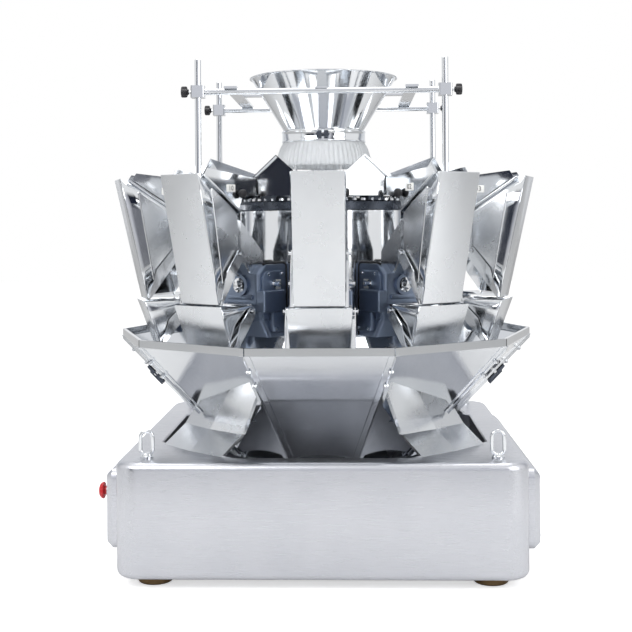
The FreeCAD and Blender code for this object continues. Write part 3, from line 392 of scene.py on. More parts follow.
# ---------------------------------------------------------------- base cabinet
def placed(side, reach, height) -> Array:
    """Stacks three broadcast arrays into head coordinates."""
    return np.stack(np.broadcast_arrays(*(np.asarray(v, float) for v in (side, reach, height))), axis=-1)


def side_plane(sign: float = 1.0) -> Placer:
    """Placer for prisms that lie in a side plane: outline is (reach, height), level is the side."""
    return lambda p: front(np.stack([sign * p[..., 2], p[..., 0], p[..., 1]], axis=-1))


def face_plane(reach: float) -> Placer:
    """Placer for plates on a face square to the reach: outline is (side, height), level adds to it."""
    return lambda p: front(np.stack([p[..., 0], reach + p[..., 2], p[..., 1]], axis=-1))


def along_x(p: Array) -> Array:
    """Placer for plates on the cabinet's sides: outline is (y, z), level is x."""
    return np.stack([p[..., 2], p[..., 0], p[..., 1]], axis=-1) * MM


@dataclass
class BaseCabinet:
    """Hollow welded cabinet with an octagonal well, side covers, feet, lifting eyes and stop button."""

    half_w: float = 477.5
    half_d: float = 470.5
    low: float = 23.0
    high: float = 291.0
    corner_r: float = 58.0
    edge_r: float = 17.0
    well_half: float = 404.5
    well_cut: float = 430.0
    spout_r: float = 106.0
    cover_proud: float = 32.0

    def rounded_plan(self, shrink: float, steps: int = 9) -> Array:
        """Rounded rectangle: four arcs of radius corner_r - shrink about the same four centres."""
        u = np.radians(np.linspace(0, 90, steps))[None] + np.radians([0, 90, 180, 270])[:, None]
        centres = np.array([[1, 1], [-1, 1], [-1, -1], [1, -1]]) * (
            np.array([self.half_w, self.half_d]) - self.corner_r)
        radius = self.corner_r - shrink
        return (centres[:, None] + radius * np.stack([np.cos(u), np.sin(u)], -1)).reshape(-1, 2)

    def octagon_plan(self, grow: float, steps: int = 9) -> Array:
        """Octagon with a row of points along each diagonal side, one per point of the plan's arc."""
        half, cut = self.well_half + grow, self.well_cut + grow
        short = cut * math.sqrt(2) - half
        w = np.linspace(0, 1, steps)[:, None]
        quarter = np.array([half, short]) * (1 - w) + np.array([short, half]) * w
        turns = [np.array([[1, 0], [0, 1]]), np.array([[0, 1], [-1, 0]]), -np.eye(2), np.array([[0, -1], [1, 0]])]
        return np.concatenate([quarter @ turn for turn in turns])

    def shell(self) -> None:
        """One closed skin: floor hole, well floor, well wall, top, rounded edge, side, underside."""
        bend = [(self.edge_r * (1 - math.sin(a)), self.edge_r * (1 - math.cos(a)))
                for a in np.radians((0, 18, 36, 54, 72, 90))]
        start = self.rounded_plan(0)
        circle = self.spout_r * start / np.linalg.norm(start, axis=1, keepdims=True)
        rows = [(circle, self.low + 4), (self.octagon_plan(0), self.low + 4), (self.octagon_plan(0), self.high - 3),
                (self.octagon_plan(3), self.high)]
        rows += [(self.rounded_plan(flat), self.high - drop) for flat, drop in bend]
        rows += [(self.rounded_plan(flat), self.low + rise) for flat, rise in bend[::-1]]
        rows += [(circle, self.low)]
        grid = np.stack([np.concatenate([plan, np.full((len(plan), 1), z)], 1) for plan, z in rows])
        grid = np.concatenate([grid, grid[:1]]) * MM
        Surface().grid(grid, caps=False).piece("cabinet_shell", BRUSHED, Body.MACHINE, ["base_shell", "base_floor", "base_well"])

    def covers(self) -> None:
        """Pressed covers with a sloping edge and a row of dome screws on each side."""
        low, high = self.low + 49, self.low + 238
        outline = rounded([(-390, low), (390, low), (390, high), (-390, high)], 24)
        for side, tag in ((1, "right"), (-1, "left")):
            work = Surface()
            levels = [(0, 1), (0, self.cover_proud - 14), (12.5, self.cover_proud - 1.2), (14.5, self.cover_proud)]
            rows = np.stack([np.concatenate([inset(outline, d) if d else outline,
                                             np.full((len(outline), 1), self.half_w + x)], 1) for d, x in levels])
            rows[..., 2] *= side
            work.grid(along_x(rows))
            work.piece("side_cover_" + tag, BRUSHED, Body.MACHINE, ["side_covers"])
            heads = Surface()
            for y in (-350, 0, 350):
                for z in (low + 26, high - 26):
                    dome = [(7.5, 0), (7.5, 2), (6, 4), (3, 5)]
                    p = cross_lathe(dome, (0, 0, 0), (0, 0, 1), 16)
                    face = self.half_w + self.cover_proud - 0.5
                    heads.grid(placed(side * (face + p[..., 2]), p[..., 0] + y, p[..., 1] + z) * MM)
            heads.piece("cover_screws_" + tag, POLISHED, Body.MACHINE)

    def feet(self) -> None:
        """Round feet with a bevelled pad and a short neck."""
        x, y = self.half_w - 85, self.half_d - 85
        work = Surface()
        for sx in (-1, 1):
            for sy in (-1, 1):
                profile = [(38, 0), (41, 3), (41, 13), (37, 17), (30, 18), (30, 23)]
                p = cross_lathe(profile, (0, 0, 0), (0, 0, 1), 40) + np.array([sx * x, sy * y, 0])
                work.grid(p * MM)
        work.piece("levelling_feet", FOOT, Body.MACHINE, ["base_feet"])

    def eyes(self) -> None:
        """Lifting eyes: an oval ring of round rod on a stepped collar."""
        x, y = self.half_w - 68, self.half_d - 68
        work = Surface()
        u = np.linspace(0, 2 * np.pi, 40, endpoint=False)
        middle = self.high + 7 + 14.5 + 13
        straight = 13 * np.sign(np.sin(u)) * np.minimum(1, np.abs(np.sin(u)) * 6)
        path = placed(14.5 * np.cos(u), 0, middle + 14.5 * np.sin(u) + straight)
        loop = tube(path, 4.5, 12, closed=True)
        collar = cross_lathe([(15, 0), (15, 4), (10, 7), (8, 11)], (0, 0, self.high), (0, 0, 1), 28)
        for sx in (-1, 1):
            for sy in (-1, 1):
                shift = np.array([sx * x, sy * y, 0])
                work.grid((loop + shift) * MM, caps=False).grid((collar + shift) * MM)
        work.piece("lifting_eyes", POLISHED, Body.MACHINE, ["eye_bolts"])

    def stop_button(self) -> None:
        """Mushroom head on its stem in a collar on the left cover."""
        x0, y0, z0 = -self.half_w - self.cover_proud, -self.half_d + 130, 201
        head = [(0.5, 26), (8, 25.6), (14, 23.5), (18, 20), (20, 16), (19.6, 13.5), (17, 12), (10, 12), (10, 5.5)]
        collar = [(10.05, 0), (16, 0), (16, 5), (15, 6), (10.05, 6)]

        def place(profile: Sequence, wrap_rows: bool) -> Array:
            p = cross_lathe(profile, (0, 0, 0), (0, 0, 1), 32)
            p = np.stack([x0 - p[..., 2], y0 + p[..., 0], z0 + p[..., 1]], -1) * MM
            return np.concatenate([p, p[:1]]) if wrap_rows else p

        Surface().grid(place(head, False)).piece("stop_button_head", RED, Body.BUTTON, ["stop_button"])
        Surface().grid(place(collar, True), caps=False).piece("stop_button_ring", POLISHED, Body.MACHINE,
                                                              ["stop_button_collar"])

    def build(self) -> None:
        """Every piece of the cabinet."""
        self.shell()
        self.covers()
        self.feet()
        self.eyes()
        self.stop_button()


# ---------------------------------------------------------------- hoppers
@dataclass
class FormedHopper:
    """Bent-sheet hopper: a rounded four-sided wall between two slanting cut edges.

    At side share w and front share f the wall stands at reach = back + f (front(z) - back), where
    front(z) runs straight from the tip to the top; its lower edge follows the closed gate and its
    upper edge the slope under the feeder pan.
    """

    name: str
    node: str
    back: float
    low_back: float
    tip: tuple[float, float]
    top: tuple[float, float]
    rise_from: float
    rise: float
    half_tip: float
    half_top: float
    bend: float = 4.0
    sheet: float = 2.0

    def front_at(self, z: Array) -> Array:
        """Reach of the front wall at a height."""
        return self.tip[0] + (self.top[0] - self.tip[0]) * (z - self.tip[1]) / (self.top[1] - self.tip[1])

    def half_at(self, z: Array) -> Array:
        """Half width at a height."""
        return self.half_tip + (self.half_top - self.half_tip) * (z - self.tip[1]) / (self.top[1] - self.tip[1])

    def wall(self) -> Array:
        """Rows from the gate edge to the top edge, each once round the wall.

        A column keeps its share of the front-to-back run; its end heights solve z = edge(reach(z))
        by repeated substitution.
        """
        s = np.linspace(0, 1, 5)[1:-1]
        f = np.linspace(0, 1, 10)
        b = self.bend
        side = [(f, 0 * f, 1 + 0 * f, 0 * f)]
        corner = [(1 + 0 * s, -b * (1 - s) ** 2, 1 + 0 * s, b * s ** 2)]
        w = np.linspace(1, -1, 9)
        face = [(1 + 0 * w, 0 * w, w, b + 0 * w)]
        corner2 = [(1 + 0 * s, -b * s ** 2, -1 + 0 * s, b * (1 - s) ** 2)]
        side2 = [(f[::-1], 0 * f, -1 + 0 * f, 0 * f)]
        w2 = np.linspace(-1, 1, 9)[1:-1]
        rear = [(0 * w2, 0 * w2, w2, 0 * w2)]
        f_, dr, w_, ds = (np.concatenate(parts) for parts in zip(*(side + corner + face + corner2 + side2 + rear)))
        f_ = np.where((np.abs(w_) == 1) & (f_ == 1) & (dr == 0) & (ds == 0), 1 - b / 110.0, f_)
        slope = (self.low_back - self.tip[1]) / (self.tip[0] - self.back)
        low = np.full(f_.shape, self.tip[1])
        high = np.full(f_.shape, self.top[1])
        for _ in range(14):
            reach = self.back + f_ * (self.front_at(low) - self.back) + dr
            low = self.low_back - slope * (reach - self.back)
            reach = self.back + f_ * (self.front_at(high) - self.back) + dr
            high = np.minimum(self.top[1], self.rise_from + self.rise * (reach - self.back))
        v = np.linspace(0, 1, 5)[:, None]
        z = low + v * (high - low)
        reach = self.back + f_ * (self.front_at(z) - self.back) + dr
        return placed(w_ * (self.half_at(z) - ds), reach, z)

    def face(self) -> None:
        """Satin front plate: side = w half(z), reach = front(z) + a hair, between tip and top."""
        z = np.linspace(self.tip[1] + 1, self.top[1] - 1, 7)[:, None]
        w = np.array([-1.0, -0.985, 0.985, 1.0])[None]
        lift = np.array([0.05, 0.35, 0.35, 0.05])[None]
        outer = placed(w * (self.half_at(z) - 0.8), self.front_at(z) + lift, z)
        inner = placed(w * (self.half_at(z) - 0.8), self.front_at(z) - 0.4, z)
        rows = np.concatenate([outer, inner[:, ::-1]], axis=1)
        Surface().grid(front(rows)).copies(HEAD_AZIMUTHS).piece(self.name + "_fronts", SATIN, Body.MACHINE)

    def build(self, panel: Sequence[tuple[float, float]] | None) -> None:
        """Wall with its sheet thickness, front plate and, if given, an embossed panel in each side."""
        work = Surface().grid(front(self.wall()), caps=False)
        obj = work.copies(HEAD_AZIMUTHS).piece(self.name, POLISHED, Body.MACHINE, [self.node])
        solid = obj.modifiers.new("sheet", "SOLIDIFY")
        solid.thickness, solid.offset = self.sheet * MM, -1
        self.face()
        if panel:
            outline = rounded(panel, (16, 10, 8, 8), 6)
            half = (self.half_tip + self.half_top) / 2
            raised = Surface()
            for sign in (1, -1):
                rows = [np.concatenate([inset(outline, d), np.full((len(outline), 1), half + x)], 1)
                        for d, x in ((0, -0.4), (1.5, 0.9), (3.5, 1.4))]
                raised.grid(side_plane(sign)(np.stack(rows)))
            raised.copies(HEAD_AZIMUTHS).piece(self.name + "_panels", SATIN, Body.MACHINE)


FEED_HOPPER = FormedHopper("feed_hopper_walls", "feed_hoppers", back=404, low_back=759, tip=(482.5, 648),
                           top=(550, 952), rise_from=868, rise=84 / 124, half_tip=59.5, half_top=59.5)
WEIGH_HOPPER = FormedHopper("weigh_hopper_walls", "weigh_hoppers", back=380, low_back=622, tip=(452, 534),
                            top=(492, 644), rise_from=644, rise=0.0, half_tip=68.0, half_top=75.5)


@dataclass
class HopperFittings:
    """Hinge pins of both hoppers of a head, and the feed hopper's folded hems."""

    feed_pivot: tuple[float, float] = (411.5, 766.5)
    weigh_pivot: tuple[float, float] = (387.5, 629.5)
    feed_half: float = 59.5
    weigh_half: float = 74.5

    def pins(self) -> None:
        """Round pins with a domed head and a retaining disc."""
        work = Surface()
        for pivot, half in ((self.feed_pivot, self.feed_half), (self.weigh_pivot, self.weigh_half)):
            for sign in (1, -1):
                start = (sign * (half - 1), pivot[0], pivot[1])
                shaft = [(4, 0), (4, 13), (6.5, 13.2), (6.5, 14.6), (4, 15)]
                work.grid(front(cross_lathe(shaft, start, (sign, 0, 0), 18)))
        work.copies(HEAD_AZIMUTHS).piece("hinge_pins", POLISHED, Body.MACHINE)

    def hems(self) -> None:
        """Folded hem on the sloping top edge of each feed hopper side."""
        work = Surface()
        way = np.array([528 - 404, 952 - 868], float)
        way /= np.linalg.norm(way)
        across = np.array([-way[1], way[0]])
        a, b = np.array([404.0, 868.0]), np.array([528.0, 952.0])
        strip = [a - across * 5, b - across * 5, b, a]
        for sign in (1, -1):
            work.prism(rounded(strip, 1.0, 3), (self.feed_half - 0.5, self.feed_half + 3.0), side_plane(sign), 0.6)
        work.copies(HEAD_AZIMUTHS).piece("hopper_hems", POLISHED, Body.MACHINE)

    def build(self) -> None:
        """All fittings."""
        self.pins()
        self.hems()


# ---------------------------------------------------------------- drum and drives
@dataclass
class Drum:
    """Central housing: rolled drum, dark flange and its ring of bolts."""

    radius: float = 228.0
    low: float = 553.0
    high: float = 870.0
    flange_r: float = 237.0
    flange_top: float = 895.0

    def build(self) -> None:
        """Drum skin, flange and bolts, all by turning a profile about the axis."""
        body = [(0.01, self.low), (234, self.low), (234, self.low + 6), (self.radius, self.low + 8),
                (self.radius, self.high), (0.01, self.high)]
        Surface().grid(lathe(body, 120), caps=False).piece("drum_skin", POLISHED, Body.MACHINE, ["drum_body"])
        t = self.flange_top
        flange = [(0.01, self.high), (self.flange_r - 2, self.high), (self.flange_r, self.high + 2),
                  (self.flange_r, t - 3), (self.flange_r - 3, t), (0.01, t)]
        Surface().grid(lathe(flange, 120), caps=False).piece("drum_top_flange", DARK_STEEL, Body.MACHINE, ["drum_flange"])
        bolts = Surface()
        head = [(6.5, 0), (6.5, 6), (4, 8.5), (1.5, 9.2)]
        bolts.grid(front(cross_lathe(head, (0, self.flange_r - 12, t), (0, 0, 1), 10)))
        bolts.copies(np.arange(60) * 6.0 + 3).piece("flange_bolts", POLISHED, Body.MACHINE)


@dataclass
class DriveHousings:
    """Joint seals, side plates, cable boxes, caps, labels and screws on the cast housings."""

    reach: float = 338.0
    half: float = 56.0

    def build(self) -> None:
        """Details of one housing, repeated round the drum."""
        seal = Surface()
        path_rz = rounded([(228, 562), (231, 741), (306, 741), (318, 738)], (0.1, 14, 4, 0.1), 7)
        for sign in (1, -1):
            path = placed(np.full(len(path_rz), sign * (self.half - 1)), path_rz[:, 0], path_rz[:, 1])
            seal.grid(front(tube(path, 3.2, 8)))
        seal.copies(HEAD_AZIMUTHS).piece("housing_seals", BLACK, Body.MACHINE)
        plates = Surface()
        for sign in (1, -1):
            raised = rounded([(246, 650), (326, 650), (326, 706), (312, 722), (246, 722)], 7)
            plates.prism(raised, (self.half - 1, self.half + 5), side_plane(sign), 1.5)
            box = rounded([(240, 572), (292, 572), (300, 590), (300, 622), (240, 622)], 5)
            plates.prism(box, (self.half - 1, self.half + 15), side_plane(sign), 2.5)
            rib = rounded([(300, 600), (322, 606), (330, 640), (318, 640)], 3)
            plates.prism(rib, (self.half - 1, self.half + 4), side_plane(sign), 1.0)
        cover = rounded([(-40, 652), (40, 652), (40, 664), (-40, 664)], 4)
        plates.prism(cover, (-1, 5), face_plane(self.reach), 1.2)
        plates.copies(HEAD_AZIMUTHS).piece("housing_plates", CASTING, Body.MACHINE)
        bright = Surface()
        for sign in (1, -1):
            for r, z in ((254, 658), (318, 658), (254, 714), (304, 714), (250, 580), (288, 580)):
                lift = 5 if z > 600 else 15
                start = (sign * (self.half + lift - 0.5), r, z)
                bright.grid(front(cross_lathe([(4, 0), (4, 2.2), (2.5, 3.4)], start, (sign, 0, 0), 10)))
            socket = [(9, 0), (9, 5), (5.5, 5), (5.5, 16), (7, 16), (7, 21), (5, 22)]
            bright.grid(front(cross_lathe(socket, (sign * (self.half + 4), 286, 690), (sign, 0, 0), 18)))
        cap = [(18, 0), (18, 2), (12, 3), (12, 7), (9, 8.5)]
        bright.grid(front(cross_lathe(cap, (0, self.reach + 6, 687), (0, 1, 0), 28)))
        for x in (-30, 30):
            screw = [(4.5, 0), (4.5, 2.5), (3, 3.8)]
            bright.grid(front(cross_lathe(screw, (x, self.reach - 0.5, 658), (0, 1, 0), 10)))
        bright.copies(HEAD_AZIMUTHS).piece("housing_screws", POLISHED, Body.MACHINE)
        labels = Surface()
        for sign in (1, -1):
            tag = rounded([(258, 676), (278, 676), (278, 700), (258, 700)], 1.5, 3)
            labels.prism(tag, (self.half + 4.8, self.half + 5.6), side_plane(sign), 0.2)
        labels.copies(HEAD_AZIMUTHS).piece("housing_labels", LABEL, Body.MACHINE)


# ---------------------------------------------------------------- feeders
@dataclass
class Feeders:
    """Number tags and clamp knobs on the feeder pans, and the dispersion cone."""

    half: float = 52.0
    tag_reach: float = 429.0
    tag_z: float = 921.0
    figure_h: float = 17.0

    def build(self) -> None:
        """Tags with plain numbers on both side plates of each pan, knobs under them, and the cone."""
        tags, knobs = Surface(), Surface()
        for sign in (1, -1):
            tag = np.array([(-15, -9), (15, -9), (15, 9), (-15, 9)]) + (self.tag_reach, self.tag_z)
            tags.prism(rounded(tag, 2, 3), (self.half - 0.3, self.half + 0.8), side_plane(sign), 0.2)
            knob = [(4, 0), (4, 5), (9, 5.5), (10.5, 8), (10.5, 14), (8, 17), (3, 18)]
            knobs.grid(front(cross_lathe(knob, (sign * (self.half - 0.5), 398, 908), (sign, 0, 0), 20)))
        tags.copies(HEAD_AZIMUTHS).piece("number_tags", LABEL, Body.MACHINE)
        knobs.copies(HEAD_AZIMUTHS).piece("pan_knobs", BLACK, Body.MACHINE)
        for index, azimuth in enumerate(HEAD_AZIMUTHS):
            for sign, tag in ((1, "r"), (-1, "l")):
                self.number("%02d" % (index + 1), azimuth, sign, "number_%02d_%s" % (index + 1, tag))
        cone = [(0.01, 895), (60, 895), (60, 967), (194, 944.6), (195, 946), (195, 949), (193.5, 950.5), (60, 974),
                (30, 982), (12, 984), (0.01, 984)]
        Surface().grid(lathe(cone, 96), caps=False).piece("dispersion_cone_skin", POLISHED, Body.MACHINE,
                                                          ["dispersion_cone"])

    def number(self, text: str, azimuth: float, sign: int, name: str) -> None:
        """A plain number, made a mesh, then laid on the tag and turned to its head."""
        curve = bpy.data.curves.new(name, "FONT")
        curve.body, curve.size, curve.extrude = text, self.figure_h * MM, 0.2 * MM
        curve.align_x, curve.align_y = "CENTER", "CENTER"
        curve.resolution_u = 2
        temporary = bpy.data.objects.new(name, curve)
        bpy.context.scene.collection.objects.link(temporary)
        bpy.context.view_layer.update()
        mesh = bpy.data.meshes.new_from_object(temporary)
        bpy.data.objects.remove(temporary)
        co = np.empty(len(mesh.vertices) * 3)
        mesh.vertices.foreach_get("co", co)
        co = co.reshape(-1, 3) / MM
        head = placed(sign * (self.half + 0.9 + co[:, 2]), self.tag_reach - sign * co[:, 0], self.tag_z + co[:, 1])
        mesh.vertices.foreach_set("co", turned(front(head), azimuth).ravel())
        mesh.update()
        mesh.name = name
        obj = bpy.data.objects.new(name, mesh)
        bpy.context.scene.collection.objects.link(obj)
        outward(mesh)
        mesh.materials.clear()
        mesh.materials.append(BLACK.material())
        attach(obj, Body.MACHINE.value)


# ---------------------------------------------------------------- chute fittings
@dataclass
class ChuteFittings:
    """Seam bolts and over-centre clips on the ten-sided chute."""

    rim_r: float = 546.0
    fold_z: float = 540.0
    slope: float = 46.0

    def corner(self, z: float) -> float:
        """Corner radius at a height."""
        return self.rim_r - (self.fold_z - z) / math.tan(math.radians(self.slope))

    def build(self) -> None:
        """Seam bolts on every web and over-centre clips on the side webs."""
        up = math.radians(self.slope)
        way = np.array([math.cos(up), math.sin(up)])
        out = np.array([math.sin(up), -math.cos(up)])
        bolts = Surface()
        for z in (470, 505):
            r = self.corner(z)
            for sign in (1, -1):
                bolts.grid(front(cross_lathe([(5, 0), (5, 3), (3, 4.5)], (sign * 1.5, r + 5, z - 4), (sign, 0, 0), 10)))
        bolts.copies(SEAM_AZIMUTHS).piece("seam_bolts", POLISHED, Body.MACHINE)
        clips = Surface()
        for along in (0, 34):
            base = np.array([self.corner(432), 432]) + way * (along - 17)
            plate = [base + out * 2, base + way * 26 + out * 2, base + way * 26 + out * 9, base + out * 12]
            clips.prism(rounded(plate, 2, 3), (-19, 19), side_plane(), 1.0)
        rod_a, rod_b = np.array([self.corner(418), 418]) + out * 12, np.array([self.corner(452), 452]) + out * 12
        for x in (-14, 14):
            path = placed(np.array([x, x]), np.array([rod_a[0], rod_b[0]]), np.array([rod_a[1], rod_b[1]]))
            clips.grid(front(tube(path, 2.6, 8)))
        clips.copies((90, 270)).piece("chute_clips", DARK_STEEL, Body.MACHINE)


# ---------------------------------------------------------------- infeed
@dataclass
class Infeed:
    """Height-adjustable funnel on four posts, with its band and soft sleeve."""

    neck_r: float = 107.0
    neck_low: float = 1047.0
    neck_high: float = 1085.0
    mouth_r: float = 192.0
    mouth_z: float = 1222.0
    post_x: float = 307.43
    post_y: float = 223.36
    bar_z: float = 1167.0
    hem_z: float = 988.0
    pleats: int = 60

    def posts(self) -> None:
        """Ground posts with a small bevel at the top, on their flanges."""
        work = Surface()
        for sx in (-1, 1):
            for sy in (-1, 1):
                p = cross_lathe([(8, 885), (8, 1246.5), (6.5, 1248)], (0, 0, 0), (0, 0, 1), 24)
                work.grid((p + np.array([sx * self.post_x, sy * self.post_y, 0])) * MM)
        work.piece("ground_posts", POLISHED, Body.MACHINE, ["guide_posts"])

    def cone(self) -> None:
        """Thin funnel with a rolled lip, by turning its closed profile about the axis."""
        n, m = self.neck_r, self.mouth_r
        lip = [(m + 3 + 3 * math.cos(a), self.mouth_z + 2 + 2.0 * math.sin(a))
               for a in np.radians([-90, -45, 0, 45, 90])]
        profile = [(n, self.neck_low), (n, self.neck_high - 3), (n + 2, self.neck_high + 3), (m, self.mouth_z), *lip,
                   (m - 3, self.mouth_z + 4), (m - 3, self.mouth_z), (n - 1, self.neck_high + 3),
                   (n - 2.4, self.neck_high - 3), (n - 2.4, self.neck_low)]
        Surface().grid(lathe(profile, 144), caps=False).piece("infeed_funnel", POLISHED, Body.INFEED, ["infeed_cone"])

    def band(self) -> None:
        """Clamp band with a bead at each edge and an over-centre latch in front."""
        low, high = 1053.0, 1083.0
        r = self.neck_r + 2
        profile = [(r, low), (r + 2.5, low), (r + 3, low + 1), (r + 3, low + 4), (r + 2, low + 6), (r + 2, high - 6),
                   (r + 3, high - 4), (r + 3, high - 1), (r + 2.5, high), (r, high)]
        Surface().grid(lathe(profile, 144), caps=False).piece("clamp_band", POLISHED, Body.INFEED, ["neck_band"])
        work = Surface()
        for x0, x1 in ((-16, -3), (3, 16)):
            outline = rounded([(x0, 1060), (x1, 1060), (x1, 1076), (x0, 1076)], 2, 3)
            work.prism(outline, (-2, 8), face_plane(r + 3), 1.0)
        path = placed(np.array([-18.0, 18.0]), np.array([r + 9.0, r + 9.0]), np.array([1068.0, 1068.0]))
        work.grid(front(tube(path, 2.5, 10)))
        work.piece("band_latch", DARK_STEEL, Body.INFEED)

    def sleeve(self) -> None:
        """Pleated soft sleeve.

        Radius = base(z) + depth(z) cos(pleats u): the base widens smoothly from the neck to the hem and
        the pleats grow from nothing at the band to their full depth at the hem.
        """
        z = np.linspace(1080, self.hem_z, 14)[:, None]
        down = np.clip((1052 - z) / 52, 0, 1)
        u = np.linspace(0, 2 * np.pi, 480, endpoint=False)[None]
        base = 108.2 + 18.0 * down ** 0.7
        depth = 1.7 * np.clip(down * 3, 0, 1)
        radius = base + depth * np.cos(self.pleats * u)
        grid = np.stack([radius * np.cos(u), radius * np.sin(u), z + 0 * u], -1) * MM
        obj = Surface().grid(grid, caps=False).piece("pleated_sleeve", SLEEVE, Body.INFEED, ["product_curtain"])
        solid = obj.modifiers.new("film", "SOLIDIFY")
        solid.thickness, solid.offset = 0.0012, 0.0

    def knobs(self) -> None:
        """Star knobs: radius = 14.5 s (1 - 0.2 (1 + cos 5u) / 2), with the share s along the axis."""
        work, studs = Surface(), Surface()
        u = np.linspace(0, 2 * np.pi, 60, endpoint=False)
        lobes = 1 - 0.2 * (1 + np.cos(5 * u)) / 2
        face = self.post_x + 17
        profile = ((0.45, 6), (0.5, 9), (0.93, 10), (1.0, 12.5), (1.0, 21), (0.92, 24), (0.6, 25), (0.1, 25.3))
        for sx in (-1, 1):
            for sy in (-1, 1):
                rows = []
                for scale, x in profile:
                    shape = lobes if scale > 0.6 else 1 + 0 * lobes
                    r = 14.5 * scale * shape
                    rows.append(placed(sx * (face + x), sy * self.post_y + r * np.cos(u), self.bar_z + r * np.sin(u)))
                work.grid(np.stack(rows) * MM)
                p = cross_lathe([(4, -1), (4, 8), (3.5, 9)], (0, 0, 0), (0, 0, 1), 14)
                studs.grid(placed(sx * (face + p[..., 2]), sy * self.post_y + p[..., 0], self.bar_z + p[..., 1]) * MM)
        work.piece("star_knobs", BLACK, Body.INFEED, ["clamp_knobs"])
        studs.piece("knob_studs", POLISHED, Body.INFEED)

    def build(self) -> None:
        """Every piece of the infeed."""
        self.posts()
        self.cone()
        self.band()
        self.sleeve()
        self.knobs()


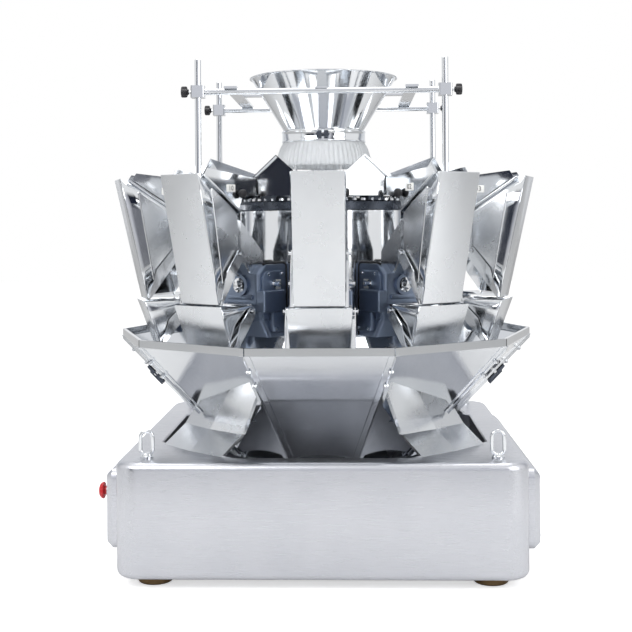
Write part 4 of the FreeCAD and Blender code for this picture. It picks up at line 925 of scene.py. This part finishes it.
# ---------------------------------------------------------------- stage
@dataclass
class Studio:
    """White sweep, soft lamps and the camera at the height of the hopper tips."""

    lens_mm: float = 64.3
    camera_m: tuple[float, float, float] = (0.078, -3.029, 0.828)
    yaw_deg: float = 1.9
    roll_deg: float = -0.4
    shift_y: float = -0.1407
    walls: tuple[tuple[float, str], ...] = ((0, "#e4e5ea"), (20, "#dadbe2"), (27, "#1b2233"), (46, "#141826"),
                                            (53, "#ffffff"), (112, "#ffffff"), (122, "#8a8f99"), (135, "#e8eaee"),
                                            (180, "#f4f5f7"))

    def camera(self) -> None:
        """Level camera turned by the yaw, rolled about its own axis."""
        data = bpy.data.cameras.new("camera")
        data.lens, data.sensor_width, data.shift_y = self.lens_mm, 36.0, self.shift_y
        obj = bpy.data.objects.new("camera", data)
        turn = Matrix.Rotation(math.radians(self.yaw_deg), 4, "Z") @ Matrix.Rotation(math.pi / 2, 4, "X")
        turn = turn @ Matrix.Rotation(math.radians(self.roll_deg), 4, "Z")
        obj.matrix_world = Matrix.Translation(self.camera_m) @ turn
        bpy.context.scene.collection.objects.link(obj)
        bpy.context.scene.camera = obj

    def world(self) -> None:
        """White to the camera, soft grey light on the object."""
        world = bpy.data.worlds.new("studio")
        world.use_nodes = True
        tree = world.node_tree
        tree.nodes.clear()
        way = add_node(tree, "TexCoord").outputs["Generated"]
        axes = add_node(tree, "SeparateXYZ", {0: way})
        flipped = add_node(tree, "Math", {0: axes.outputs[1]}, {1: -1.0}, operation="MULTIPLY")
        azimuth = add_node(tree, "Math", {0: axes.outputs[0], 1: flipped.outputs[0]}, operation="ARCTAN2")
        share = add_node(tree, "Math", {0: azimuth.outputs[0]}, operation="ABSOLUTE")
        share = add_node(tree, "Math", {0: share.outputs[0]}, {1: math.pi}, operation="DIVIDE")
        walls = add_node(tree, "ValToRGB", {0: share.outputs[0]})
        walls.color_ramp.elements.remove(walls.color_ramp.elements[1])
        for index, (degrees, shade) in enumerate(self.walls):
            place = degrees / 180
            stop = walls.color_ramp.elements[0] if index == 0 else walls.color_ramp.elements.new(place)
            stop.position, stop.color = place, linear(shade)
        height = add_node(tree, "MapRange", {"Value": axes.outputs[2]},
                          {"From Min": 0.62, "From Max": 0.8, "To Min": 0.0, "To Max": 1.0})
        ceiling = add_node(tree, "Mix", {0: height.outputs[0], 6: walls.outputs[0]}, {7: (1, 1, 1, 1)}, data_type="RGBA")
        room = add_node(tree, "Background", {"Color": ceiling.outputs[2]}, {"Strength": 1.0})
        light = add_node(tree, "Background", values={"Color": (1, 1, 1, 1), "Strength": 0.6})
        white = add_node(tree, "Background", values={"Color": (1, 1, 1, 1), "Strength": 1.0})
        path = add_node(tree, "LightPath")
        lit = add_node(tree, "MixShader", {0: path.outputs["Is Glossy Ray"], 1: light.outputs[0], 2: room.outputs[0]})
        seen = add_node(tree, "Math", {0: path.outputs["Is Camera Ray"], 1: path.outputs["Is Transmission Ray"]},
                        operation="MAXIMUM")
        mixed = add_node(tree, "MixShader", {0: seen.outputs[0], 1: lit.outputs[0], 2: white.outputs[0]})
        add_node(tree, "OutputWorld", {"Surface": mixed.outputs[0]})
        bpy.context.scene.world = world

    def lamp(self, name: str, place: tuple, target: tuple, size: tuple, power: float) -> None:
        """Rectangular soft lamp that faces a point."""
        data = bpy.data.lights.new(name, "AREA")
        data.shape, data.size, data.size_y, data.energy = "RECTANGLE", size[0], size[1], power
        obj = bpy.data.objects.new(name, data)
        way = np.array(target) - np.array(place)
        turn = Vector(way).to_track_quat("-Z", "Y").to_matrix().to_4x4()
        obj.matrix_world = Matrix.Translation(place) @ turn
        bpy.context.scene.collection.objects.link(obj)

    def floor(self) -> None:
        """Pale floor that shows white to the camera and keeps a soft shadow."""
        mesh = bpy.data.meshes.new("floor")
        s = 14.0
        mesh.from_pydata([(-s, -s, -0.0005), (s, -s, -0.0005), (s, s, -0.0005), (-s, s, -0.0005)], [], [(0, 1, 2, 3)])
        obj = bpy.data.objects.new("floor", mesh)
        bpy.context.scene.collection.objects.link(obj)
        made = bpy.data.materials.new("pale_floor")
        made.use_nodes = True
        tree = made.node_tree
        tree.nodes.clear()
        matt = add_node(tree, "BsdfDiffuse", values={"Color": linear("#f4f4f4")})
        glow = add_node(tree, "Emission")
        path = add_node(tree, "LightPath")
        lift = add_node(tree, "Math", {0: path.outputs["Is Camera Ray"]}, {1: 0.55}, operation="MULTIPLY")
        tree.links.new(lift.outputs[0], glow.inputs["Strength"])
        both = add_node(tree, "AddShader", {0: matt.outputs[0], 1: glow.outputs[0]})
        add_node(tree, "OutputMaterial", {"Surface": both.outputs[0]})
        mesh.materials.append(made)

    def build(self) -> None:
        """Camera, world, lamps and floor."""
        self.camera()
        self.world()
        self.floor()
        self.lamp("key", (-1.8, -2.6, 2.6), (0, 0, 0.7), (2.0, 1.6), 60)
        self.lamp("fill", (2.2, -2.2, 1.6), (0, 0, 0.6), (1.6, 2.0), 35)
        self.lamp("top", (0, 0.6, 3.2), (0, 0, 0.8), (2.4, 2.4), 45)
        bpy.context.scene.view_settings.view_transform = "Standard"


def main() -> None:
    """Builds the scene and reports each piece."""
    logging.basicConfig(level=logging.INFO, format="%(message)s")
    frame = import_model()
    Studio().build()
    dress_cad(frame)
    BaseCabinet().build()
    FEED_HOPPER.build([(508, 926), (414, 862), (414, 772), (468, 694)])
    WEIGH_HOPPER.build(None)
    HopperFittings().build()
    Drum().build()
    DriveHousings().build()
    Feeders().build()
    ChuteFittings().build()
    Infeed().build()


if __name__ == "__main__":
    main()
